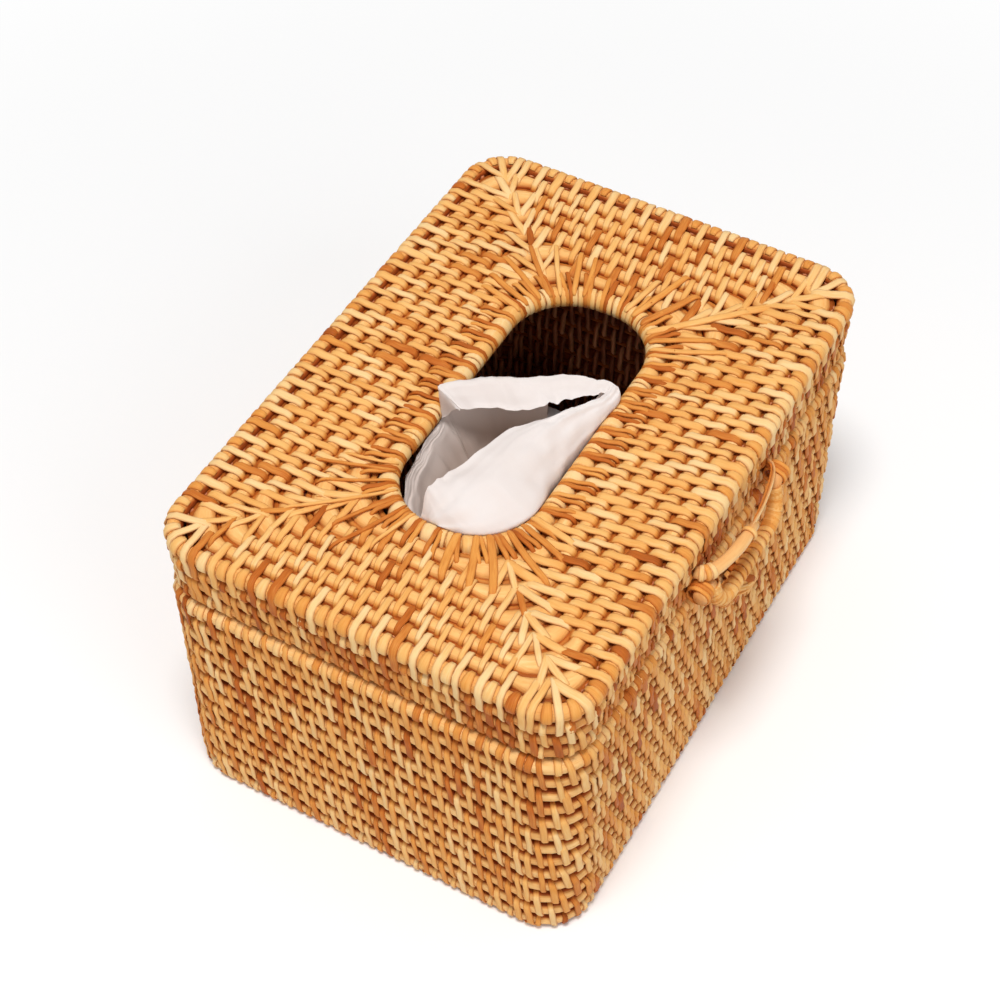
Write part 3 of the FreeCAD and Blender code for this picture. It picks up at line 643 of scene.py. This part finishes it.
# Width, span and share of brown of the single wraps on a rod.
SKIRT_WRAP, EDGE_WRAP, HEM_WRAP = (2.1, (-100, 100), 0.55), (3.3, (-80, 130), 0.03), (1.8, (-95, 150), 0.3)
LID_STRIP, LID_BROWN, LID_LOW = 2.1, 0.025, 0.66
SHOULDER_STRIP, SHOULDER_LEAN, SHOULDER_LIFT, SHOULDER_PAST = 2.5, 1.3, 0.36, 5
# The lid's gap runs: their drop below the rods, and dark tones as painted shade in the gaps.
LID_GAP, LID_GAP_TONES = 0.4, (0.15, 0.4)

skirt_hoops = []
for i, (z, inset) in enumerate(zip(SKIRT_HEIGHTS, SKIRT_INSETS)):
    skirt_hoops.append(wall_hoop(-inset, z, VISIBLE_ROD))
    hoop_rod(skirt_hoops[-1], f"skirt_rod_{i + 1:02d}", "lid", "side", pale=SKIRT_PALE)
edge_hoop = wall_hoop(0.0, EDGE_Z, LID_ROD)
hoop_rod(edge_hoop, "lid_edge_rod", "lid", "both", pale=EDGE_PALE)
ring_hoop = Hoop(RING_HALF_X, RING_HALF_Y, RING_CORNER, RING_Z, LID_ROD)
hoop_rod(ring_hoop, "opening_rod", "lid", "up", wobble=RING_WOBBLE)
lid_hoops = []
for i in range(1, LID_COUNT + 1):
    share = i / (LID_COUNT + 1)
    half_x = RING_HALF_X + (WALL_HALF_X - RING_HALF_X) * share
    half_y = RING_HALF_Y + (WALL_HALF_Y - RING_HALF_Y) * share
    corner = max(WALL_CORNER, RING_CORNER - CORNER_STEP * i)
    lid_hoops.append(Hoop(half_x, half_y, corner, RING_Z + (EDGE_Z - RING_Z) * share, LID_HOOP_ROD))
    hoop_rod(lid_hoops[-1], f"lid_rod_{i:02d}", "lid", "up", widen=INNERMOST_WIDEN if i == 1 else LID_WIDEN)

skirt_stitches, lid_inside, lid_stitches, lid_gaps = Strands(), Strands(), Strands(), Strands()
for i in range(2):
    stitch_row(skirt_stitches, skirt_hoops[i], skirt_hoops[i + 1], half_pitch(i), "out", SKIRT_STRIP,
               tuck=(HEM_TUCK if i == 0 else PLAIN_TUCK, PLAIN_TUCK), brown=SKIRT_BROWN, low=SKIRT_LOW,
               sides=WALL_SIDES, lean=SKIRT_LEAN, leans=WALL_LEANS)
rod_wraps(skirt_stitches, skirt_hoops[2], 0.5, UP, *SKIRT_WRAP)
rod_wraps(skirt_stitches, edge_hoop, 0.5, UP, *EDGE_WRAP)
rod_wraps(skirt_stitches, skirt_hoops[0], 0.5, -UP, *HEM_WRAP)
inside_rows(lid_inside, skirt_hoops + [edge_hoop], "in", 1, SHORT_TUCK)

top_rows = [ring_hoop] + lid_hoops + [edge_hoop]
for i in range(1, len(top_rows) - 2):
    stitch_row(lid_stitches, top_rows[i], top_rows[i + 1], half_pitch(i), "up", LID_STRIP, brown=LID_BROWN,
               low=LID_LOW, sides=LID_SIDES)
inside_rows(lid_inside, top_rows[1:], "down", 0)
# Long strips from the lid's top over its shoulder to the skirt.
for a, b, out in stations(lid_hoops[-1], edge_hoop, 0.0):
    below = skirt_hoops[2].nearest(b + out * SHOULDER_PAST)
    wide = by_side(SHOULDER_STRIP, out, LID_SIDES) * draw(0.88, 1.12)
    lace(lid_stitches, [a, b, below], [LID_HOOP_ROD, LID_ROD, VISIBLE_ROD], along_of(out), [UP, out], wide,
         tone=peel_tone(0.03, 0.75, 1.0), lean=SHOULDER_LEAN + draw(-0.5, 0.5),
         bow=draw(-0.3, 0.3), roll=draw(-0.2, 0.2), lift=SHOULDER_LIFT)
# Dark runs in the lid's gaps: painted shade.
gap_runs(lid_gaps, skirt_hoops + [edge_hoop], lambda out: -out, WALL_GAP)
gap_runs(lid_gaps, top_rows, lambda out: -UP, LID_GAP, tones=LID_GAP_TONES)
lid_gaps.piece("lid_shaded_gap_runs", "lid", "rattan_peel")
skirt_stitches.piece("skirt_stitches", "lid", "rattan_peel", "skirt_lacing")
lid_inside.piece("lid_inside_stitches", "lid", "rattan_peel", material=INSIDE)
lid_stitches.piece("lid_stitches", "lid", "rattan_peel", "lid_lacing")

# Longer strips that fan out from the opening's corners: corner, count, width and rods crossed.
FANS = ((-1, -1, 6, 2.4, 2), (1, -1, 7, 2.2, 3), (1, 1, 7, 1.9, 2), (-1, 1, 7, 1.2, 3))
FAN_FROM, FAN_ANGLE, FAN_STEP, FAN_SHORT, FAN_TUCK = 8, 74, 5.9, 3, (40, 85)
fans = Strands()
for sign_x, sign_y, count, wide, reach in FANS:
    for k in range(count):
        turn = radians(FAN_FROM + FAN_ANGLE * (k + 0.5) / count + draw(-3, 3))
        picked = top_rows[:reach + 1] if k % 2 else top_rows[:FAN_SHORT]
        point, out = picked[0].corner_point(sign_x, sign_y, turn)
        centres = [point]
        for hoop in picked[1:]:
            guess = centres[-1] + out * FAN_STEP
            past = abs(guess.x) > hoop.straight()[0]
            centres.append(hoop.nearest(guess) if past else Vector((guess.x, guess.y, hoop.z)))
        lace(fans, centres, [h.radius for h in picked], along_of(out), UP, wide * draw(0.85, 1.15),
             thick=0.8, tone=draw(0.3, 0.8), lift=0.8, bow=draw(-0.8, 0.8), tuck=FAN_TUCK,
             dip=0.1, taper=0.4, roll=draw(-0.2, 0.2))
fans.piece("lid_corner_fans", "lid", "rattan_peel")

# Binding round the opening: broad pale wraps with narrow strips between them that run on over the next rod.
WRAP_SETS, WRAP_SIDES, WRAP_LIFT, WRAP_THICK = 46, 14, 0.45, 0.75
WRAP_PAIR, WRAP_SINGLE = ((-1.1, 1.9), (1.1, 1.9)), ((0.0, 3.9),)
PAIRS_FROM_X, PAIR_CHANCE = 40, 0.2
RUN_ON, RUN_STRIP, RUN_TUCK = 5.93, 1.5, (200, PLAIN_TUCK)
binding = Strands()
outline = ring_hoop.outline(step=1.0, corner_steps=36)
lengths = [0.0]
for (a, _), (b, _) in zip(outline, outline[1:] + outline[:1]):
    lengths.append(lengths[-1] + (b - a).length)
ring_length = lengths[-1]


def on_ring(distance):
    """The point of the opening's hoop at a distance along it, and its outward direction."""
    distance %= ring_length
    for k in range(len(outline)):
        if lengths[k + 1] >= distance:
            break
    share = (distance - lengths[k]) / max(1e-6, lengths[k + 1] - lengths[k])
    (a, out_a), (b, out_b) = outline[k], outline[(k + 1) % len(outline)]
    return a.lerp(b, share), out_a.lerp(out_b, share).normalized()


for k in range(WRAP_SETS):
    place = (k + draw(-0.06, 0.06)) * ring_length / WRAP_SETS
    right_end = on_ring(place)[0].x > PAIRS_FROM_X
    for shift, width in WRAP_PAIR if right_end or rng.random() < PAIR_CHANCE else WRAP_SINGLE:
        point, out = on_ring(place + shift)
        reach, slope = LID_ROD + WRAP_LIFT, draw(0.2, 0.7)
        path, rays = ring_round(point, UP, out, reach, along_of(out), slope, WRAP_SIDES)
        binding.sweep(path, rays, width * draw(0.92, 1.08), WRAP_THICK, STRIP, draw(0.72, 1.0),
                      closed=True)
    point, out = on_ring(place + ring_length / WRAP_SETS / 2)
    along = along_of(out)
    over = point + out * RUN_ON + UP * (lid_hoops[0].z - ring_hoop.z)
    for shift, tone in ((-0.75, draw(0.2, 0.5)), (0.75, draw(0.35, 0.65))):
        centres = [point + along * shift, over + along * (shift * 1.4 + 0.8)]
        lace(binding, centres, [LID_ROD, LID_ROD], along, UP, RUN_STRIP * draw(0.9, 1.15), thick=0.85,
             tone=tone, lift=0.5, lean=0.6, tuck=RUN_TUCK, steps=5, taper=0.7, bow=draw(-0.2, 0.2))
binding.piece("opening_wraps", "lid", "rattan_binding", "opening_binding")

# ---- clasp

PULL_HALF, PULL_DEPTH, PULL_Z, PULL_RADIUS = 24.5, 6.4, 98.4, 2.0
PULL_PARTS, PULL_SUNK, PULL_BOW = 24, 1.2, 0.8
PULL_BANDS, PULL_BAND_TONES, PULL_BAND_SIZE = [0.55, 0.855, 0.90, 0.945], [0.8, 0.95, 0.6, 0.9], (1.7, 0.7)
# Rise, sag and tone of the strips that carry the pull's right half.
PULL_TAILS, TAIL_SIZE, TAIL_PARTS = ((0.9, 0.4, 0.95), (-0.7, 0.9, 0.7), (0.1, 1.5, 0.5)), (1.5, 0.7), 14
EYE_RADIUS, EYE_Z, EYE_X = 2.9, 93.0, 26.5
EYE_WRAPS, EYE_SIZE = ((-1.5, 0.5), (0.0, 0.38), (1.5, 0.55)), (1.55, 0.75)
EYE_REACH, EYE_ROOT, EYE_SIDES = 2.6, 2.0, 14
HASP_LEG, HASP_DROP, HASP_BEND, HASP_LEAN, HASP_RADIUS = 21.5, 11.0, 8.0, radians(16), 2.0
LEG_FROM, LEG_STEP, LEG_PARTS, BEND_PARTS, BAR_PARTS = 1.2, 0.45, 5, 9, 8
STUB_PAST, STUB_PARTS, STUB_WIDTHS, HASP_TONE = 2.6, 6, (4.4, 5.3, 5.3, 5.3, 4.8), 0.55
HASP_WRAPS, HASP_WRAP_LIFT, HASP_WRAP_SIZE, HASP_TILT = 44, 0.15, (2.0, 0.6), 0.3


def frames(path, hint):
    """A direction square to the path at each of its points, near the hint."""
    found = []
    for i, point in enumerate(path):
        forward = (path[min(i + 1, len(path) - 1)] - path[max(i - 1, 0)]).normalized()
        found.append((hint - forward * hint.dot(forward)).normalized())
    return found


def bands(strands, path, radius, places, size, tones, tilt=0.12):
    """Peel wraps, of a width and thickness, round a rod along a path, at shares of its points."""
    normals = frames(path, UP)
    last = len(path) - 1
    width, thick = size
    for place, tone in zip(places, tones):
        spot = place * last
        k = min(int(spot), last - 1)
        centre = path[k].lerp(path[k + 1], spot - k)
        forward = (path[k + 1] - path[k]).normalized()
        side, slope = forward.cross(normals[k]), draw(-tilt, tilt) * radius
        ring, rays = ring_round(centre, normals[k], side, radius + thick * 0.3, forward, slope, 12)
        strands.sweep(ring, rays, width, thick, STRIP, tone, closed=True)


def half_turn(parts):
    return [pi * i / parts for i in range(parts + 1)]


def even_places(count):
    return [(k + 0.5) / count for k in range(count)]


def mirrored(path):
    return [Vector((-p.x, p.y, p.z)) for p in reversed(path)]


pull_path = []
for turn in half_turn(PULL_PARTS):
    out_y = (PULL_DEPTH + PULL_SUNK) * sin(turn) ** PULL_BOW
    pull_path.append(Vector((PULL_HALF * cos(turn), FRONT_FACE + PULL_SUNK - out_y, PULL_Z)))
pull = Strands()
rod_path = pull_path[PULL_PARTS // 2:]
pull_widths = [2 * PULL_RADIUS * (0.72 + 0.28 * smoothstep(0, 3, i)) * (1.0 + 0.05 * sin(0.9 * i))
               for i in range(len(rod_path))]
pull.sweep(rod_path, frames(rod_path, UP), pull_widths, pull_widths, ROUND,
           [0.72 + 0.1 * cos(i) for i in range(len(ROUND))])
pull.piece("lid_pull_rod", "lid", "rattan_smooth", "lid_pull", material=SMOOTH)
pull_bands = Strands()
bands(pull_bands, pull_path, PULL_RADIUS, PULL_BANDS, PULL_BAND_SIZE, PULL_BAND_TONES)
for rise, sag, tone in PULL_TAILS:
    tail = [p + UP * rise - FRONT * (sag * sin(turn)) for p, turn in zip(pull_path, half_turn(TAIL_PARTS))]
    pull_bands.sweep(tail, frames(tail, FRONT), *TAIL_SIZE, STRIP, tone)
pull_bands.piece("lid_pull_bands", "lid", "rattan_binding")


def hasp_point(x, drop):
    return Vector((x, FRONT_FACE - EYE_RADIUS - drop * sin(HASP_LEAN), EYE_Z - drop * cos(HASP_LEAN)))


flat_path = [(HASP_LEG, LEG_FROM + LEG_STEP * i) for i in range(LEG_PARTS)]
for i in range(1, BEND_PARTS + 1):
    turn = pi / 2 * i / BEND_PARTS
    flat_path.append((HASP_LEG - HASP_BEND * (1 - cos(turn)), HASP_DROP - HASP_BEND * (1 - sin(turn))))
bar_half = HASP_LEG - HASP_BEND
flat_path += [(bar_half - 2 * bar_half * i / BAR_PARTS, HASP_DROP) for i in range(1, BAR_PARTS // 2 + 1)]
half_path = [hasp_point(x, drop) for x, drop in flat_path]
hasp_path = half_path + mirrored(half_path[:-1])
stub = [hasp_point(EYE_X + STUB_PAST - i, 0.0) for i in range(STUB_PARTS)]
core_points = stub + hasp_path + mirrored(stub)
core_widths = [2 * HASP_RADIUS] * len(core_points)
for i, width in enumerate(STUB_WIDTHS):
    core_widths[i] = core_widths[-1 - i] = width
hasp, hasp_wraps = Strands(), Strands()
hasp.sweep(core_points, frames(core_points, FRONT), core_widths, core_widths, ROUND, HASP_TONE)
hasp.piece("hasp_rod", "hasp", "rattan_core", "hasp_core", material=SMOOTH)
bands(hasp_wraps, hasp_path, HASP_RADIUS + HASP_WRAP_LIFT, even_places(HASP_WRAPS), HASP_WRAP_SIZE,
      [draw(0.5, 0.85) for _ in range(HASP_WRAPS)], tilt=HASP_TILT)
hasp_wraps.piece("hasp_wraps", "hasp", "rattan_binding", "hasp_wrap")

eyes = Strands()
for side in (-1, 1):
    for shift, tone in EYE_WRAPS:
        centre = Vector((side * EYE_X + shift, FRONT_FACE - EYE_RADIUS, EYE_Z))
        ring, rays = ring_round(centre, FRONT, UP, EYE_REACH, UP, 0.0, EYE_SIDES)
        ring = [point + ray * (0.0 if ray.y < 0.2 else EYE_ROOT * ray.y) for point, ray in zip(ring, rays)]
        eyes.sweep(ring, rays, *EYE_SIZE, STRIP, tone, closed=True)
eyes.piece("hasp_eye_bindings", "lid", "rattan_binding", "hasp_eyes")

KNOT_X, KNOT_Z, KNOT_SINK = 3.0, 70.5, 0.2
KNOT_HALF, KNOT_WEAVE = Vector((8.3, 8.0, 6.6)), Vector((8.3, 7.4, 6.6))
KNOT_LOOPS, KNOT_PARTS, KNOT_STRIP, KNOT_THICK = 8, 16, 2.5, 0.85
HEART_FROM, HEART_DEPTH, HEART_WIDE, HEART_HIGH, HEART_TONE = 0.4, 6.6, 1.15, 0.92, 0.22
HEART_WIDTHS = (10.5, 11.5, 12, 12, 11.5, 10.5, 8.5, 5.5, 1.5)
knot = Strands()
knot_centre = Vector((KNOT_X, FRONT_FACE - KNOT_SINK, KNOT_Z))
for k in range(KNOT_LOOPS):
    spin = pi * k / KNOT_LOOPS + draw(-0.05, 0.05)
    ring, rays = [], []
    for turn in half_turn(KNOT_PARTS):
        wave = 0.55 * cos(3 * turn + pi * k)
        sway = 0.22 * sin(2 * turn)
        flat = Vector((cos(spin + sway), 0, sin(spin + sway)))
        ray = flat * cos(turn) + FRONT * sin(turn)
        ring.append(knot_centre + ray * KNOT_WEAVE * (1 + 0.06 * wave))
        rays.append(Vector((ray.x / KNOT_HALF.x, ray.y / KNOT_HALF.y, ray.z / KNOT_HALF.z)).normalized())
    widths = [KNOT_STRIP * (0.75 + 0.25 * sin(turn)) for turn in half_turn(KNOT_PARTS)]
    knot.sweep(ring, rays, widths, KNOT_THICK, STRIP, peel_tone(0.2, 0.45, 0.9))
heart = [knot_centre + Vector((0, HEART_FROM - HEART_DEPTH * i / (len(HEART_WIDTHS) - 1), 0))
         for i in range(len(HEART_WIDTHS))]
knot.sweep(heart, UP, [w * HEART_WIDE for w in HEART_WIDTHS], [w * HEART_HIGH for w in HEART_WIDTHS], ROUND,
           HEART_TONE)
knot.piece("clasp_knot_weave", "box", "rattan_binding", "clasp_knot")

CORD_HALF, CORD_SAG, CORD_OUT, CORD_BOW, CORD_WIDTH, CORD_TONE = 10.7, 9.2, 1.6, 0.4, 2.5, 0.5
CORD_PARTS, CORD_WRAPS, CORD_WRAP_SIZE, CORD_TILT = 18, 17, (1.7, 0.5), 0.4
cord = Strands()
cord_path = []
for turn in half_turn(CORD_PARTS):
    y = FRONT_FACE - CORD_OUT - CORD_BOW * sin(turn)
    cord_path.append(Vector((KNOT_X + CORD_HALF * cos(turn), y, KNOT_Z - CORD_SAG * sin(turn))))
cord.sweep(cord_path, frames(cord_path, FRONT), CORD_WIDTH, CORD_WIDTH, SMALL_ROUND, CORD_TONE)
bands(cord, cord_path, CORD_WIDTH / 2, even_places(CORD_WRAPS), CORD_WRAP_SIZE,
      [draw(0.3, 0.8) for _ in range(CORD_WRAPS)], tilt=CORD_TILT)
cord.piece("knot_cord_wraps", "box", "rattan_binding", "knot_cord")

# ---- hinge straps

HINGE_X, HINGE_Z, HINGE_BACK = 55.0, 88.7, 70.8
STRAP_STRIPS, STRAP_STEP, STRAP_HALF, STRAP_PARTS, STRAP_SIZE = 7, 2.5, 10.5, 16, (2.35, 0.6)
STRAP_LEAN, STRAP_STAGGER, STRAP_SINK, STRAP_FLAT = 1.1, 0.12, 1.6, 0.8
for side, label in ((-1, "left"), (1, "right")):
    strap = Strands()
    for k in range(STRAP_STRIPS):
        x = side * HINGE_X + STRAP_STEP * (k - STRAP_STRIPS // 2)
        lean = STRAP_LEAN if k % 2 else -STRAP_LEAN
        path = []
        for i in range(STRAP_PARTS + 1):
            end = 2 * i / STRAP_PARTS - 1
            sink = STRAP_SINK * max(0, abs(end) - STRAP_FLAT) / (1 - STRAP_FLAT)
            y = HINGE_BACK - sink + STRAP_STAGGER * (k % 2)
            path.append(Vector((x + lean * end, y, HINGE_Z + STRAP_HALF * end)))
        strap.sweep(path, -FRONT, *STRAP_SIZE, STRIP, peel_tone(0.1, 0.55, 0.95))
    made = strap.piece(f"hinge_strap_{label}", None, "rattan_binding", f"hinge_lashing_{label}")
    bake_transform(made)

# ---- tissues

STACK_HALF_X, STACK_HALF_Y, STACK_LOW, STACK_HIGH, LAYERS = 76.6, 46.6, 5.8, 23.8, 30
STACK_SIDE, STACK_ROUND, STACK_GROOVE, STACK_LOOSE, STACK_CROWN = 10, 40, 0.9, 0.5, 0.2
CORNERS = ((-1, -1), (1, -1), (1, 1), (-1, 1))
points, faces = [], []
for layer in range(2 * LAYERS + 1):
    z = STACK_LOW + (STACK_HIGH - STACK_LOW) * layer / (2 * LAYERS)
    inset = STACK_GROOVE if layer % 2 else draw(0.0, STACK_LOOSE)
    corners = [Vector((x * (STACK_HALF_X - inset), y * (STACK_HALF_Y - inset), z)) for x, y in CORNERS]
    for a, b in zip(corners, corners[1:] + corners[:1]):
        points += [a.lerp(b, k / STACK_SIDE) * MM for k in range(STACK_SIDE)]
for layer in range(2 * LAYERS):
    faces += band_faces(layer * STACK_ROUND, (layer + 1) * STACK_ROUND, STACK_ROUND)
top = 2 * LAYERS * STACK_ROUND
points.append(Vector((0, 0, STACK_HIGH + STACK_CROWN)) * MM)
points.append(Vector((0, 0, STACK_LOW)) * MM)
for k in range(STACK_ROUND):
    n = (k + 1) % STACK_ROUND
    faces.append((top + k, top + n, len(points) - 2))
    faces.append((n, k, len(points) - 1))
stack_mesh = bpy.data.meshes.new("tissue_pack")
stack_mesh.from_pydata(points, [], faces)
add_piece("tissue_pack", stack_mesh, STACK, "box", "tissue_paper", "tissue_stack")

# The sheet's lines from its upper edge down to the pack, in order round the opening.
COLUMNS = [
    [(13.5, -19.8, 113.5), (16.8, -20.8, 114.4), (16.8, -23.4, 111.3), (13.0, -20.5, 105)],
    [(7.0, -13.5, 113.8), (13.5, -12.5, 116.0), (13.8, -11.3, 111), (11, -9, 103)],
    [(1.5, -8.6, 114), (7.5, -2.5, 117.6), (8.8, -0.8, 112), (8, 0, 103)],
    [(-3.4, -4.2, 114), (2.0, 5.5, 118), (3.8, 7.7, 112), (4, 8, 103)],
    [(-8.2, 5.0, 113.4), (-4.5, 13.5, 118.4), (-2.3, 15.5, 112), (-2, 14.5, 103)],
    [(-12.9, 14.0, 113), (-11.5, 21.9, 118), (-9.8, 22.4, 111), (-9, 20, 103)],
    [(-13.6, 15.6, 112.6), (-13.2, 22.4, 116.6), (-11.2, 22.2, 109.5), (-10.4, 20, 102.5)],
    [(-14.0, 21.6, 104.6), (-14.0, 21.6, 103.8), (-13.6, 21.0, 102), (-12.6, 19.4, 99)],
    [(-27, 21.2, 104.2), (-27, 21.2, 103.4), (-26.6, 20.6, 101.5), (-25, 18.5, 98)],
    [(-38, 19.4, 104), (-38, 19.4, 103.2), (-37.5, 18.8, 101), (-35, 16.5, 97)],
    [(-47.6, 14.0, 104.2), (-47.6, 14.0, 103.4), (-47, 13.4, 101.5), (-43.5, 11.5, 97)],
    [(-51.6, 7.0, 105.4), (-51.8, 5.5, 104.6), (-51.4, 4.5, 102.5), (-47.5, 4, 98)],
    [(-46.4, 7.2, 113.4), (-51.2, 0.5, 110.0), (-51.9, -3.0, 106), (-48, -3, 99)],
    [(-39.8, 5.5, 114.0), (-44.6, -5.0, 113.6), (-48.0, -14.6, 107.8), (-44, -12.5, 100)],
    [(-27.3, 1.7, 113.8), (-31.0, -8.0, 114.6), (-35.2, -21.8, 108.8), (-32.5, -19, 101)],
    [(-12.0, -3.8, 113.8), (-14.4, -9.6, 114.6), (-18.0, -19.6, 107.6), (-18, -19.5, 99)],
    [(-0.3, -12.3, 114.0), (-0.4, -15.0, 114.4), (-1.5, -20.4, 107.6), (-2, -19.8, 99)],
    [(8.0, -18.0, 114.2), (9.0, -20.4, 113.2), (9.4, -23.2, 109.6), (7, -20.2, 101)],
]


def smooth_line(points, parts, closed):
    """Catmull-Rom curve through points."""
    count = len(points)
    found = []
    for i in range(count if closed else count - 1):
        p0 = points[i - 1] if closed or i else points[0] * 2 - points[1]
        p1, p2 = points[i], points[(i + 1) % count]
        p3 = points[(i + 2) % count] if closed or i + 2 < count else p2 * 2 - p1
        for k in range(parts):
            t = k / parts
            found.append(0.5 * ((2 * p1) + (p2 - p0) * t + (2 * p0 - 5 * p1 + 4 * p2 - p3) * t * t
                                + (3 * p1 - p0 - 3 * p2 + p3) * t * t * t))
    if not closed:
        found.append(points[-1].copy())
    return found


RIM_CLEAR, PACK_TOP, LOOSE_FROM = 3.5, 24.6, 34.0
# The run down to the pack: shares of a column's last x and y, a shift in x, and the height.
HANGS = ((0.9, 0.5, -1, 78.0), (0.8, 0.25, -2, 50.0), (0.75, 0.15, -2, PACK_TOP))
SHEET_PARTS, SHEET_MIDDLE_X, UPPER_FROM = 9, -15, 95
RAGGED, RAGGED_ROWS = 1.17, 5
RIPPLE_UPPER, RIPPLE_LOWER, RIPPLE_LEAST = 0.7, 1.6, 0.4
CREASE_IN, FINE_IN, CREASE_DOWN, FINE_DOWN, PLEAT_DOWN = 2.4, 0.9, 0.9, 0.8, 1.3
SLOT_FROM, SLOT_TO, SLOT_TOP_ROW, SLOT_LOW_ROW = 5, 14, 21, 43


def hang(column):
    """A column of the sheet with its run down to the pack added, drawn together towards a flat fold."""
    x, y, _ = column[-1]
    return [*column, *((x * share_x + shift, y * share_y, z) for share_x, share_y, shift, z in HANGS)]


def noise_at(x, y, z):
    return noise.noise(Vector((x, y, z)))


lines = [smooth_line([Vector(p) for p in hang(column)], SHEET_PARTS, False) for column in COLUMNS]
rows_down = len(lines[0])
across = [smooth_line([line[j] for line in lines], SHEET_PARTS, True) for j in range(rows_down)]
around = len(across[0])
points, faces = [], []
for j in range(rows_down):
    depth = j / (rows_down - 1)
    for i in range(around):
        spot = across[j][i].copy()
        x, y, z = spot
        ripple = noise_at(i * 0.21, j * 0.05, 3.7) * 0.7 + noise_at(i * 0.55, j * 0.12, 9.1) * 0.3
        ripple *= (RIPPLE_UPPER if z > UPPER_FROM else RIPPLE_LOWER) * min(1.0, RIPPLE_LEAST + depth)
        ragged = noise_at(i * 0.33, 0.0, 5.5) * max(0.0, 1 - j / RAGGED_ROWS)
        crease = abs(noise_at(x * 0.055 + z * 0.04, y * 0.06 - z * 0.03, 1.3)) - 0.2
        fine = abs(noise_at(x * 0.13 - z * 0.07, y * 0.12 + z * 0.05, 5.1)) - 0.2
        pleat = abs(noise_at(i * 0.06, j * 0.42, 2.2)) + 0.7 * abs(noise_at(i * 0.4, j * 0.07, 6.3)) - 0.3
        out = Vector((x - SHEET_MIDDLE_X, y, 0)).normalized()
        spot += out * (ripple - CREASE_IN * crease - FINE_IN * fine)
        if z > LOOSE_FROM:
            spot.z += RAGGED * ragged - FINE_DOWN * fine - CREASE_DOWN * crease - PLEAT_DOWN * pleat
        rim = ring_hoop.nearest(spot)
        if (spot - rim).length < RIM_CLEAR:
            spot = rim + (spot - rim).normalized() * RIM_CLEAR
        points.append(spot * MM)
for j in range(rows_down - 1):
    row = band_faces(j * around, (j + 1) * around, around)
    if SLOT_TOP_ROW <= j <= SLOT_LOW_ROW:
        del row[SLOT_FROM:SLOT_TO + 1]
    faces += row
sheet_mesh = bpy.data.meshes.new("tissue_top_sheet")
sheet_mesh.from_pydata(points, [], faces, shade_flat=False)
tissue = add_piece("tissue_top_sheet", sheet_mesh, PAPER, "box", "tissue_paper", "tissue_sheet")

# ---- stage

FLOOR_HALF, FLOOR_NOISE, WHITE_FROM, WHITE_TO = 3.0, 3.0, 0.2, 0.45
FLOOR_STOPS = [(0.3, (0.955, 0.955, 0.955)), (0.7, (0.965, 0.965, 0.965))]
WHITE, SKY_STRENGTH = (1.0, 1.0, 1.0, 1.0), 0.42
# Name, place, size and power of each lamp.
LAMPS = (("key", (-0.35, -0.1, 1.45), 0.4, 14.5), ("fill", (-0.5, -1.2, 1.0), 0.9, 3.5))
LAMP_TARGET = Vector((0, 0, 0.05))

floor_mesh = bpy.data.meshes.new("floor")
floor_mesh.from_pydata([(x * FLOOR_HALF, y * FLOOR_HALF, 0) for x, y in CORNERS], [], [(0, 1, 2, 3)])
# The floor turns into plain white away from the box, for rays that are seen.
floor_material, tree = new_material("floor")
clouds = node(tree, "TexNoise", {"Scale": FLOOR_NOISE}).outputs["Fac"]
matt = node(tree, "BsdfDiffuse", {"Color": ramp(tree, FLOOR_STOPS, clouds)}).outputs["BSDF"]
place = node(tree, "TexCoord").outputs["Object"]
reach = node(tree, "VectorMath", {0: place}, operation="LENGTH").outputs["Value"]
far = node(tree, "MapRange", {"Value": reach, "From Min": WHITE_FROM, "From Max": WHITE_TO})
white_share = math_node(tree, "MULTIPLY", far.outputs["Result"], seen_rays(tree))
white = node(tree, "Emission").outputs["Emission"]
mixed = node(tree, "MixShader", {"Fac": white_share, 1: matt, 2: white}).outputs["Shader"]
node(tree, "OutputMaterial", {"Surface": mixed})
floor_mesh.materials.append(floor_material)
floor = add_object("floor", floor_mesh)

world = bpy.data.worlds.new("studio")
bpy.context.scene.world = world
world.use_nodes = True
tree = world.node_tree
sky = tree.nodes["Background"]
sky.inputs["Color"].default_value = WHITE
sky.inputs["Strength"].default_value = SKY_STRENGTH
backdrop = node(tree, "Background", {"Color": WHITE})
mixed = node(tree, "MixShader", {
    "Fac": seen_rays(tree), 1: sky.outputs["Background"], 2: backdrop.outputs["Background"]})
tree.links.new(mixed.outputs["Shader"], tree.nodes["World Output"].inputs["Surface"])

for name, place, size, power in LAMPS:
    light = bpy.data.lights.new(name, "AREA")
    light.shape = "DISK"
    light.size = size
    light.energy = power
    made = add_object(name, light)
    made.location = place
    made.rotation_euler = (Vector(place) - LAMP_TARGET).to_track_quat("Z", "Y").to_euler()

# ---- camera

SENSOR, LENS, DISTANCE = 36.0, 74.42, 0.66789
TARGET = Vector((5.02, 11.93, 55.145)) * MM
AZIMUTH, ELEVATION, ROLL = radians(-60.57), radians(48.84), radians(-0.21)
camera_data = bpy.data.cameras.new("camera")
camera_data.sensor_width = SENSOR
camera_data.lens = LENS
camera_data.dof.use_dof = False
camera = add_object("camera", camera_data)
rotation = Matrix.Rotation(AZIMUTH, 3, "Z") @ Matrix.Rotation(pi / 2 - ELEVATION, 3, "X")
rotation = rotation @ Matrix.Rotation(ROLL, 3, "Z")
camera.matrix_world = Matrix.Translation(TARGET + rotation.col[2] * DISTANCE) @ rotation.to_4x4()
bpy.context.scene.camera = camera
bpy.context.scene.view_settings.view_transform = "Standard"
